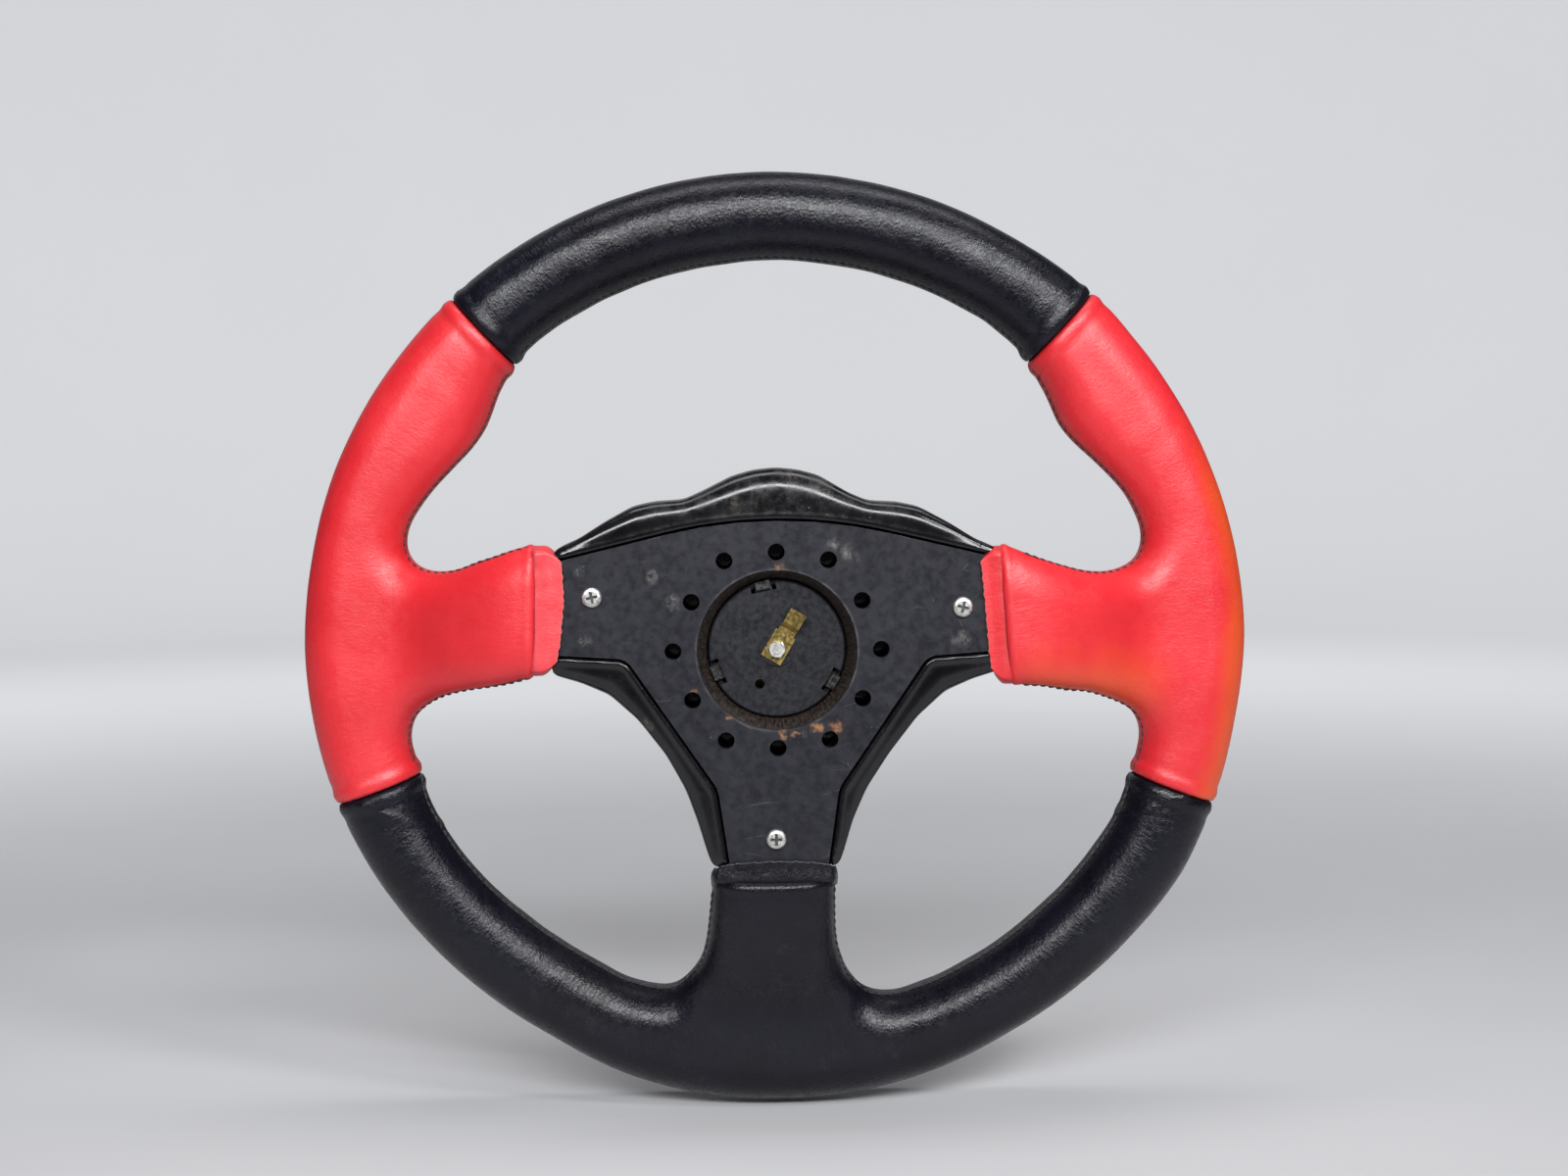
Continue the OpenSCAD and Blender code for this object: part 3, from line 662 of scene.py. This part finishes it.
def cover_material():
    n = Nodes("cover_gloss")
    p = n.parts()
    tint = n.mix(n.ramp(n.noise(0.05, 4), 0.35, 0.7),
                 (0.0030, 0.0030, 0.0040), (0.0062, 0.0062, 0.0074))
    # dust lies on the hump over the plate and in streaks on the arms
    up = n.ramp(p[2], 42, 56)
    back = n.ramp(p[1], 9, 3)
    cloud = n.ramp(n.noise(0.13, 8, 0.78, offset=(4, 4, 4)), 0.38, 0.7)
    dust = n.math("MULTIPLY", n.math("MULTIPLY", up, back), cloud)
    arms = n.math("MULTIPLY", n.ramp(n.noise(0.2, 9, 0.82, offset=(8, 1, 33)), 0.55, 0.74),
                  n.ramp(p[2], 30, 0))
    tint = n.mix(n.math("MULTIPLY", dust, 0.6), tint, (0.042, 0.040, 0.042))
    tint = n.mix(n.math("MULTIPLY", arms, 0.45), tint, (0.05, 0.044, 0.038))
    flecks = n.ramp(n.noise(0.85, 4, 0.7, offset=(7, 3, 5)), 0.69, 0.74)
    flecks = n.math("MULTIPLY", flecks, n.ramp(n.noise(0.05, 3, offset=(9, 1, 1)), 0.48, 0.6))
    tint = n.mix(flecks, tint, (0.42, 0.38, 0.30))
    spots = None
    for x, z, r in ((6, 61.5, 3.6), (-8, 54, 4.5), (-14, 52.5, 4.5), (9, 51, 2.6), (18, 60, 4),
                    (-47, -26.6, 3.4), (-37, -20, 3)):
        s = n.spot(x, z, r, 0.1)
        spots = s if spots is None else n.math("MAXIMUM", spots, s)
    spots = n.math("MULTIPLY", spots, n.ramp(n.noise(0.3, 6, 0.8, offset=(1, 8, 2)), 0.42, 0.66))
    tint = n.mix(n.math("MULTIPLY", spots, 0.3), tint, (0.24, 0.20, 0.15))
    rough = n.math("ADD", n.ramp(n.noise(0.22, 5, 0.6), 0.3, 0.7, 0.11, 0.22),
                   n.math("MULTIPLY", n.math("MAXIMUM", dust, arms), 0.2))
    n.bump(n.noise(0.07, 3), 0.35, 0.35)
    n.bump(n.noise(1.8, 3, 0.6), 0.02, 0.6)
    return n.done(tint, rough, specular=0.4, coat=0.15, coat_rough=0.08)


def metal_material(name, base, dark, rough, scale=0.5, recesses=()):
    n = Nodes(name)
    tint = n.mix(n.ramp(n.noise(scale, 5, 0.65), 0.35, 0.7), base, dark)
    grime = n.ramp(n.noise(scale * 2.4, 5, 0.75, offset=(3, 1, 7)), 0.6, 0.75, 0, 0.6)
    tint = n.mix(grime, tint, tuple(c * 0.25 for c in base))
    for x, z in recesses:
        # painted shade in the cross of a screw head
        p = n.parts()
        dx, dz = n.math("SUBTRACT", p[0], x), n.math("SUBTRACT", p[2], z)
        d = n.math("SQRT", n.math("ADD", n.math("MULTIPLY", dx, dx), n.math("MULTIPLY", dz, dz)))
        recess_shade = n.math("MULTIPLY", n.ramp(d, 2.6, 2.3), n.ramp(p[1], -1.82, -1.6))
        tint = n.mix(n.math("MULTIPLY", recess_shade, 0.78), tint, (0.03, 0.03, 0.03))
    r = n.ramp(n.noise(scale * 3, 4), 0.3, 0.7, rough - 0.08, rough + 0.12)
    n.bump(n.noise(3.0, 3), 0.02, 0.6)
    return n.done(tint, r, metallic=n.ramp(grime, 0.0, 0.6, 1.0, 0.7))


def plastic_material(name, base, dust, rough, amount=0.4):
    n = Nodes(name)
    tint = n.mix(n.ramp(n.noise(0.1, 5, 0.6), 0.35, 0.7), base, tuple(c * 1.6 for c in base))
    film = n.ramp(n.noise(0.28, 8, 0.8, offset=(6, 2, 9)), 0.45, 0.72, 0, amount)
    tint = n.mix(film, tint, dust)
    speck = n.ramp(n.noise(1.5, 3, 0.6, offset=(6, 2, 1)), 0.71, 0.76, 0, 0.7)
    tint = n.mix(speck, tint, tuple(min(1, c * 4) for c in dust))
    r = n.ramp(n.noise(0.5, 5, 0.7), 0.3, 0.7, rough - 0.08, rough + 0.1)
    n.bump(n.noise(2.2, 3, 0.6), 0.03, 0.6)
    return n.done(tint, r)


def thread_material():
    n = Nodes("thread_black")
    twist = n.noise(2.5, 3, 0.6)
    tint = n.mix(n.ramp(twist, 0.35, 0.7), (0.006, 0.006, 0.0065), (0.03, 0.027, 0.026))
    n.bump(twist, 0.15, 0.8)
    return n.done(tint, n.ramp(twist, 0.3, 0.7, 0.5, 0.75), sheen=0.2)


def foam_material():
    n = Nodes("foam")
    cells = n.cells(1.4, "F1")
    tint = n.mix(n.ramp(cells, 0.2, 0.7), (0.03, 0.028, 0.026), (0.075, 0.07, 0.066))
    n.bump(cells, 0.3, 0.8)
    return n.done(tint, 0.85)


BLACK_LEATHER = leather_material("leather_black", (0.0020, 0.0018, 0.0052), (0.0010, 0.0009, 0.0020),
                                 (0.0043, 0.0040, 0.0098), False)
RED_LEATHER = leather_material("leather_red", (0.64, 0.011, 0.018), (0.40, 0.006, 0.010),
                               (0.72, 0.018, 0.027), True)
PLATE_BLACK = plate_material()
COVER_GLOSS = cover_material()
ZINC = metal_material("zinc", (0.74, 0.73, 0.70), (0.50, 0.49, 0.47), 0.42)
SCREWS = metal_material("zinc_screws", (0.74, 0.73, 0.70), (0.50, 0.49, 0.47), 0.42,
                        recesses=((-65.5, 19.6), (66.1, 14.8), (-1, -67.6)))
CORE_STEEL = metal_material("core_steel", (0.46, 0.46, 0.47), (0.26, 0.25, 0.25), 0.42)
SPRING_STEEL = metal_material("spring_steel", (0.50, 0.50, 0.50), (0.2, 0.19, 0.18), 0.32)
DARK_STEEL = metal_material("dark_steel", (0.10, 0.10, 0.10), (0.035, 0.033, 0.032), 0.36)
BRASS = metal_material("brass", (0.42, 0.31, 0.10), (0.24, 0.17, 0.06), 0.36, 0.3)
HORN_BLACK = plastic_material("horn_black", (0.0065, 0.0067, 0.0095), (0.03, 0.03, 0.032), 0.36)
BUTTON_BLACK = plastic_material("button_black", (0.012, 0.012, 0.013), (0.04, 0.04, 0.04),
                                0.26, 0.15)
THREAD = thread_material()
FOAM = foam_material()

# ---------------------------------------------------------------- leather panels

for name, (_, seams) in PANELS.items():
    red = name in ("leather_left", "leather_right")
    pts, quads = panel_mesh(name, VOXEL)
    ob = mesh_object(name + "_wrap", pts, quads)
    ob.data.materials.append(RED_LEATHER if red else BLACK_LEATHER)
    gap = nearest_seam(name, pts[:, 0], pts[:, 2])
    dark = 0.7 * np.exp(-(gap / 0.55) ** 2)
    end = spoke_end(name, pts[:, 0], pts[:, 2])
    if end is not None:
        # painted shade in the fold at the grip's hub end
        dark = np.maximum(dark, 0.45 * np.exp(-((end + 0.1) / 0.8) ** 2) * (pts[:, 1] > -3.4))
    paint(ob, "seam_line_and_fold_shade", dark)
    paint(ob, "raw", np.zeros(len(pts)))
    paint(ob, "pale_tint", np.zeros(len(pts)))
    place(ob, "leather_red" if red else "leather_black", name)


def apron(name, spoke, at_cut, at_fold, cut, fold, mat, slot, pale_tint, lift):
    """The thin flap of leather that laps over the plate.

    at_cut and at_fold are its reach across the spoke at the cut edge and where it goes under the
    grip; cut is a table of how far from the hub it is cut, and fold is a function for the grip."""
    nu, nv = 120, 20
    u = np.linspace(0, 1, nu)
    top, under, raw = [], [], []
    for j in range(nv):
        v = j / (nv - 1)
        for i in range(nu):
            wide = math.sin(min(1.0, v * 2.2) * math.pi / 2)
            lo = at_cut[0] + (at_fold[0] - at_cut[0]) * wide
            hi = at_cut[1] + (at_fold[1] - at_cut[1]) * wide
            c = lo + (hi - lo) * u[i]
            edge_s = np.interp(u[i], *cut) + 0.22 * math.sin(i * 0.61) * math.sin(i * 0.17 + 1)
            end_s = fold(c) + 3.5
            s = edge_s + (end_s - edge_s) * v
            side = max(0.0, (abs(u[i] - 0.5) * 2 - 0.87) / 0.13)
            rise = smoothstep(fold(c) - 5.2, fold(c) + 0.5, s)
            sink = smoothstep(fold(c) + 0.3, fold(c) + 3.5, s)
            y = -1.3 - 0.15 * v - lift * rise + 3.5 * sink + 5.5 * side ** 2.4
            y += 0.10 * math.sin(i * 0.19 + 2.2 * math.sin(i * 0.07)) * v * (1 - side)
            top.append((s, c, y))
            under.append((s, c, y + 1.15 * (0.4 + 0.6 * min(1, v * 6))))
            raw.append(1.0 if j == 0 else (0.5 if j == 1 and side > 0.2 else 0.0))
    faces = []
    m = nu * nv
    for j in range(nv - 1):
        for i in range(nu - 1):
            a, b = j * nu + i, j * nu + i + 1
            faces += [(a, b, b + nu, a + nu), (m + a, m + a + nu, m + b + nu, m + b)]
    for i in range(nu - 1):
        faces.append((i, m + i, m + i + 1, i + 1))
        k = (nv - 1) * nu + i
        faces.append((k, k + 1, m + k + 1, m + k))
    for j in range(nv - 1):
        a = j * nu
        faces.append((a, a + nu, m + a + nu, m + a))
        b = j * nu + nu - 1
        faces.append((b, m + b, m + b + nu, b + nu))
    pts = []
    for s, c, y in top + under:
        pts.append({"right": (s, y, c), "left": (-s, y, c), "bottom": (c, y, -s)}[spoke])
    if spoke == "left":
        faces = [f[::-1] for f in faces]
    ob = mesh_object(name, pts, faces)
    paint(ob, "raw", raw + raw)
    paint(ob, "pale_tint", [pale_tint] * len(pts))
    # painted shade in the fold where the apron goes under the grip
    depth = np.array([p[0] for p in top + under]) - np.array([fold(p[1]) for p in top + under])
    paint(ob, "seam_line_and_fold_shade", 0.25 * np.exp(-((depth - 0.3) / 1.0) ** 2))
    ob.data.materials.append(mat)
    place(ob, slot)
    return ob


apron("apron_right", "right", (-9.5, 33.2), (-13.2, 36.2),
      ([0, 0.06, 0.2, 0.6, 0.95, 1], [77.5, 76.0, 75.2, 73.8, 72.4, 74]),
      lambda c: FOLD_RIGHT - 0.075 * (c - 12), RED_LEATHER, "leather_red", 0.0, 1.3)
apron("apron_left", "left", (-5.6, 35.0), (-8.4, 38.0),
      ([0, 0.07, 0.25, 0.6, 0.92, 1], [80, 78.0, 76.6, 75.2, 75.8, 78]),
      lambda c: FOLD_LEFT - 0.022 * (c - 14), RED_LEATHER, "leather_red", 0.3, 1.3)
apron("apron_bottom", "bottom", (-23.2, 20.2), (-24.6, 21.0),
      ([0, 0.05, 0.12, 0.28, 0.5, 0.72, 0.88, 0.95, 1],
       [78.4, 77.0, 76.2, 75.6, 75.2, 75.5, 76.1, 76.9, 78.2]),
      lambda c: FOLD_BOTTOM - 0.0012 * (c + 2) ** 2, BLACK_LEATHER, "leather_black", 0.3, 0.5)

# ---------------------------------------------------------------- foam under the leather

foam_pts, foam_quads, start = [], [], 0
for name in PANELS:
    pts, quads = panel_mesh(name, 2.4, 1.6)
    foam_pts.append(pts)
    foam_quads.append(quads + start)
    start += len(pts)
foam = mesh_object("grip_padding", np.vstack(foam_pts), np.vstack(foam_quads))
foam.data.materials.append(FOAM)
place(foam, "foam", "grip_foam")

# ---------------------------------------------------------------- stitches


def on_grip(p, normal, psi):
    """A point of the grip's surface, psi degrees round from its edge toward the back."""
    w, back, front, sharp = (float(a) for a in section(np.array(p[0]), np.array(p[1])))
    centre, half = (back + front) / 2, (front - back) / 2
    a = math.cos(math.radians(psi)) ** (2 / sharp)
    b = math.sin(math.radians(psi)) ** (2 / sharp)
    inward = w * (1 - a)
    return np.array([p[0] + normal[0] * inward, centre - half * b, p[1] + normal[1] * inward])


def capsule(a, b, r, rings=5, sides=6):
    axis = (b - a) / np.linalg.norm(b - a)
    side = np.cross(axis, (0.3, 0.5, 0.81))
    side /= np.linalg.norm(side)
    other = np.cross(axis, side)
    pts = []
    for k in range(rings):
        t = k / (rings - 1)
        q = r * math.sqrt(max(0.12, 1 - (2 * t - 1) ** 4))
        for i in range(sides):
            g = 2 * math.pi * i / sides
            pts.append(a + (b - a) * t + side * q * math.cos(g) + other * q * math.sin(g))
    faces = [(k * sides + i, k * sides + (i + 1) % sides, (k + 1) * sides + (i + 1) % sides,
              (k + 1) * sides + i) for k in range(rings - 1) for i in range(sides)]
    faces += [tuple(range(sides))[::-1], tuple((rings - 1) * sides + i for i in range(sides))]
    return pts, faces


STITCH_PITCH = 3.05
ROW_BACK, NEXT_ROW_BACK = 14, 24  # degrees round the grip, from its edge toward the back
SEAM_CLEAR = 1.8
threads = {k: ([], []) for k in ("top", "left", "right", "bottom")}


def sector(x, z):
    a = math.degrees(math.atan2(z, x)) % 360
    if SEAM_TOP < a < 180 - SEAM_TOP:
        return "top"
    if 180 - SEAM_TOP <= a <= 180 + SEAM_LOW_LEFT:
        return "left"
    if 180 + SEAM_LOW_LEFT < a < 360 - SEAM_LOW:
        return "bottom"
    return "right"


for opening in openings:
    closed = np.vstack([opening, opening[:1]])
    s = np.r_[0, np.cumsum(np.hypot(*np.diff(closed, axis=0).T))]
    count = int(s[-1] / STITCH_PITCH)
    where = np.arange(count) * s[-1] / count
    px, pz = np.interp(where, s, closed[:, 0]), np.interp(where, s, closed[:, 1])
    ahead = (where + 0.8) % s[-1]
    tx, tz = np.interp(ahead, s, closed[:, 0]) - px, np.interp(ahead, s, closed[:, 1]) - pz
    length = np.hypot(tx, tz)
    tx, tz = tx / length, tz / length
    # the outline's area tells which side the leather is on
    area = np.sum(closed[:-1, 0] * closed[1:, 1] - closed[1:, 0] * closed[:-1, 1])
    nx, nz = (tz, -tx) if area > 0 else (-tz, tx)
    for i in range(count):
        x, z = px[i], pz[i]
        if max(abs(x) - 2, -z) < 86 and z < 60 or (abs(x) < 87 and abs(z) < 60):
            continue
        part = sector(x, z)
        gap = nearest_seam("leather_" + part, x, z)
        if gap < SEAM_CLEAR:
            continue
        j = (i + 1) % count
        a = on_grip((x, z), (nx[i], nz[i]), ROW_BACK)
        b = on_grip((px[j], pz[j]), (nx[j], nz[j]), ROW_BACK)
        c = on_grip((x, z), (nx[i], nz[i]), NEXT_ROW_BACK)
        lift = np.array([-nx[i] * 0.85, -0.3, -nz[i] * 0.85]) * 0.22
        along, over = (b - a) / np.linalg.norm(b - a), (c - a) / np.linalg.norm(c - a)
        lean = along * 0.93 + over * 0.36
        pts, faces = threads[part]
        for run in ((a + lift - lean * 1.15, a + lift + lean * 1.15, 0.36),
                    (a - along * 1.6 + lift * 0.2, a + along * 1.6 + lift * 0.2, 0.24)):
            q, f = capsule(*run)
            faces += [tuple(v + len(pts) for v in face) for face in f]
            pts += q

for part, (pts, faces) in threads.items():
    ob = mesh_object("stitch_" + part, pts, faces)
    ob.data.materials.append(THREAD)
    place(ob, "thread_black", "stitching_" + part)

# ---------------------------------------------------------------- cover

plate_curve = np.array(rounded([PLATE_PEAK] + PLATE + mirror(PLATE)), float)
left_low = [(-x - 2.6 * float(smoothstep(-34, -62, z)), z) for x, z in COVER_LOW[::-1]]
left_top = [(-x, z + (1.0 if 25 < x < 62 else 0) + (1.0 if x > 70 else 0)) for x, z in COVER_TOP]
cover_curve = closed_curve(COVER_TOP + COVER_LOW + left_low + left_top[:0:-1], 1.0, 1.2)
h = 0.7
xs, zs, ys = np.arange(-86, 86.5, h), np.arange(-82, 70, h), np.arange(-2.5, 29, h)
cx, cz = np.arange(-88, 89, 1.4), np.arange(-84, 72, 1.4)
CX, CZ = np.meshgrid(cx, cz, indexing="ij")
X, Z = np.meshgrid(xs, zs, indexing="ij")
d = Map(cx, cz, blurred(outline_distance(cover_curve, CX, CZ), 0.5))(X, Z)
off_plate = -outline_distance(plate_curve, X, Z)
radius = np.hypot(X, Z)
y = ys[None, :, None]
strip = np.clip(0.52 * (d + off_plate), 2.4, 8.5)
roll = strip[:, None, :]
front_roll = 9.0


def rolled(inset, depth, size):
    a = (size - np.minimum(inset, size)) / size
    return ((a ** 2.1 + np.maximum(depth, 0) ** 2.1) ** (1 / 2.1) - 1) * size


D = d[:, None, :]
f = np.where(y < 13, rolled(D, (roll * 0.85 - y) / (roll * 0.85), roll),
             rolled(D, (y - 17.5) / 8.5, front_roll))
# a fine lip runs along the plate's edge
lip_y = 0.2 + 0.9 * smoothstep(26, 40, Z)
lip = np.hypot((off_plate - 1.7)[:, None, :], y - lip_y[:, None, :]) - 0.95
lip = np.where((d > 2.2)[:, None, :], lip, 5)
f = smooth_min(f, lip, 1.4)
f = smooth_max(f, -np.maximum((off_plate - 0.7)[:, None, :], y - 4.35), 0.5)
f = smooth_max(f, (28.5 - radius)[:, None, :], 1.0)
f = np.maximum(f, -np.maximum((radius - 31)[:, None, :], y - 10))
pocket = np.maximum(np.maximum(radius - 41.5, off_plate + 1.5)[:, None, :], np.abs(y - 9) - 7)
f = np.maximum(f, -pocket)
pts, quads = skin(f, (xs[0], ys[0], zs[0]), h)
cover = mesh_object("cover_shell", relaxed(pts, quads, 1), quads)
cover.data.materials.append(COVER_GLOSS)
place(cover, "cover_gloss", "spoke_cover")

# ---------------------------------------------------------------- CAD nodes that stay


def dress(node, material, bevel=None):
    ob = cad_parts[node]
    for s in ob.material_slots:
        s.link = "OBJECT"
        s.material = material
    if bevel:
        m = ob.modifiers.new("soft_edges", "BEVEL")
        m.width = bevel * MM
        m.segments = 2
        m.limit_method = "ANGLE"
        m.angle_limit = math.radians(35)
        m.harden_normals = True


dress("spider_plate", PLATE_BLACK, 0.35)
dress("rim_core", CORE_STEEL)
dress("cover_screws", SCREWS)
dress("horn_body", HORN_BLACK, 0.25)
dress("clip_ring", DARK_STEEL, 0.1)
dress("terminal_screw", ZINC, 0.12)
dress("horn_terminal", BRASS, 0.12)
dress("terminal_nut", ZINC, 0.15)
dress("contact_plate", BRASS, 0.15)
dress("horn_cap", BUTTON_BLACK, 0.3)
dress("horn_bezel", HORN_BLACK, 0.25)

# ---------------------------------------------------------------- return spring

# the coil as a piece of its own, in place of the CAD spring, between the cup and the contact plate
WIRE, COIL_R, COILS, AROUND_COIL, AROUND_WIRE = 0.6, 8.4, 4, 32, 12
low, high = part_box("return_spring")
y_low, y_high = low[1] / MM, high[1] / MM
rings = COILS * AROUND_COIL
pts = []
for i in range(rings + 1):
    a = 2 * math.pi * i / AROUND_COIL
    y = y_low + WIRE + (y_high - y_low - 2 * WIRE) * i / rings
    for j in range(AROUND_WIRE):
        t = -2 * math.pi * j / AROUND_WIRE
        d = COIL_R + WIRE * math.cos(t)
        pts.append((d * math.cos(a), y + WIRE * math.sin(t), d * math.sin(a)))
last = rings * AROUND_WIRE
faces = [tuple(range(AROUND_WIRE)), tuple(reversed(range(last, last + AROUND_WIRE)))]
for i in range(rings):
    for j in range(AROUND_WIRE):
        a, b = i * AROUND_WIRE + j, i * AROUND_WIRE + (j + 1) % AROUND_WIRE
        faces.append((a, a + AROUND_WIRE, b + AROUND_WIRE, b))
coil = mesh_object("spring_coil", pts, faces)
coil.data.materials.append(SPRING_STEEL)
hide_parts("return_spring")
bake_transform(coil)

# ---------------------------------------------------------------- floor, light, camera

FLOOR_Z = -174.2
RAYS = ("visible_diffuse", "visible_glossy", "visible_transmission", "visible_shadow")


def studio_tint(n):
    return n.mix(n.ramp(n.noise(0.004, 3), 0.3, 0.7), (0.56, 0.56, 0.57), (0.58, 0.58, 0.59))


# the room that the camera sees, pale from every side: a round floor that curves up into its wall
n = Nodes("studio")
p = n.parts()
away = n.math("SQRT", n.math("ADD", n.math("MULTIPLY", p[0], p[0]), n.math("MULTIPLY", p[1], p[1])))
n.shader.inputs["Emission Color"].default_value = (0.95, 0.97, 1, 1)
n.put(n.shader.inputs["Emission Strength"], n.ramp(away, 450, 1700, 0.0, 0.5))
STUDIO = n.done(studio_tint(n), 0.8)
ROOM_R, ROOM_CURVE, ROOM_TOP = 2100, 600, 2600
prof = [(r, FLOOR_Z) for r in (300, 900, 1500, ROOM_R)]
prof += [(ROOM_R + ROOM_CURVE * math.sin(math.radians(t)),
          FLOOR_Z + ROOM_CURVE - ROOM_CURVE * math.cos(math.radians(t))) for t in range(6, 91, 6)]
prof += [(ROOM_R + ROOM_CURVE, ROOM_TOP)]
AROUND = 72
pts = [(0, 0, FLOOR_Z)]
for i in range(AROUND):
    c, q = math.cos(2 * math.pi * i / AROUND), math.sin(2 * math.pi * i / AROUND)
    pts += [(r * c, r * q, z) for r, z in prof]
k = len(prof)
faces = []
for i in range(AROUND):
    a, b = 1 + i * k, 1 + (i + 1) % AROUND * k
    faces.append((0, a, b))
    faces += [(a + j, a + j + 1, b + j + 1, b + j) for j in range(k - 1)]
room = mesh_object("studio_room", pts, faces)
room.data.materials.append(STUDIO)
for ray in RAYS:
    setattr(room, ray, False)

# the floor that throws light back on the wheel: dark in front, so that it does not veil the blacks
n = Nodes("studio_bounce")
BOUNCE = n.done(n.mix(n.ramp(n.parts()[1], -230, -520), studio_tint(n), (0.09, 0.09, 0.092)), 0.8)
pts = [(x, y, FLOOR_Z - 1) for x, y in ((-2000, -1500), (2000, -1500), (2000, 1800), (-2000, 1800))]
bounce = mesh_object("studio_bounce", pts, [(0, 1, 2, 3)])
bounce.data.materials.append(BOUNCE)
bounce.visible_camera = bounce.visible_shadow = False


def area_light(name, at, size, power, colour, aim=(0, 0, 0), spread=75):
    data = bpy.data.lights.new(name, "AREA")
    data.shape, data.size, data.size_y = "RECTANGLE", size[0], size[1]
    data.energy, data.color = power, colour
    data.spread = math.radians(spread)
    ob = bpy.data.objects.new(name, data)
    scene.collection.objects.link(ob)
    ob.visible_camera = False
    ob.location = at
    ob.rotation_euler = (Vector(aim) - Vector(at)).to_track_quat("-Z", "Y").to_euler()


area_light("key", (0.05, -1.15, 0.62), (1.5, 0.3), 12, (0.965, 0.975, 1), (0, 0, 0), 120)
area_light("right", (0.75, -0.85, 0.9), (0.3, 0.25), 1.0, (0.98, 0.99, 1))
# on the driver's side, soft enough to leave no bright edge in the photograph's view
area_light("front", (-0.3, 1.6, 0.8), (2.4, 1.4), 3, (0.97, 0.98, 1), spread=140)
area_light("behind", (0.1, 0.1, 1.5), (1.6, 0.5), 9, (0.97, 0.98, 1), (0, 0.95, 0.3), 140)

world = bpy.data.worlds.new("studio_light")
world.use_nodes = True
world.node_tree.nodes["Background"].inputs["Color"].default_value = (0.86, 0.88, 0.92, 1)
world.node_tree.nodes["Background"].inputs["Strength"].default_value = 0.06
scene.world = world
scene.view_settings.view_transform = "Standard"

# the photograph's viewpoint: distance, height, turn and tilt, with the hub at its place in the frame
DISTANCE, HEIGHT, TURN, TILT, LENS = 0.8, 5.5, -0.75, 0.6, 51.7
HUB_PX = (793.1, 663.8)
WIDTH, TALL, SENSOR = 1600, 1200, 36


def turned(v, axis, t):
    return (Matrix.Rotation(t, 3, axis) @ v)


e, a = math.radians(HEIGHT), math.radians(TURN)
at = DISTANCE * Vector((math.sin(a) * math.cos(e), -math.cos(a) * math.cos(e), math.sin(e)))
focal = LENS / SENSOR * WIDTH
look = -at.normalized()
side = look.cross(Vector((0, 0, 1))).normalized()
up = side.cross(look)
dx, dy = (HUB_PX[0] - WIDTH / 2) / focal, (HUB_PX[1] - TALL / 2) / focal
yaw, pitch = math.atan(dx), math.atan(dy / math.sqrt(1 + dx * dx))
f2, s2 = turned(look, up, yaw), turned(side, up, yaw)
f3, u3 = turned(f2, s2, pitch), turned(up, s2, pitch)
tilt = math.radians(TILT)
F, R, U = turned(f3, look, tilt), turned(s2, look, tilt), turned(u3, look, tilt)
camera_data = bpy.data.cameras.new("photo_view")
camera_data.lens, camera_data.sensor_width = LENS, SENSOR
camera = bpy.data.objects.new("photo_view", camera_data)
scene.collection.objects.link(camera)
m = Matrix.Identity(4)
for i in range(3):
    m[i][0], m[i][1], m[i][2], m[i][3] = R[i], U[i], -F[i], at[i]
camera.matrix_world = m
scene.camera = camera
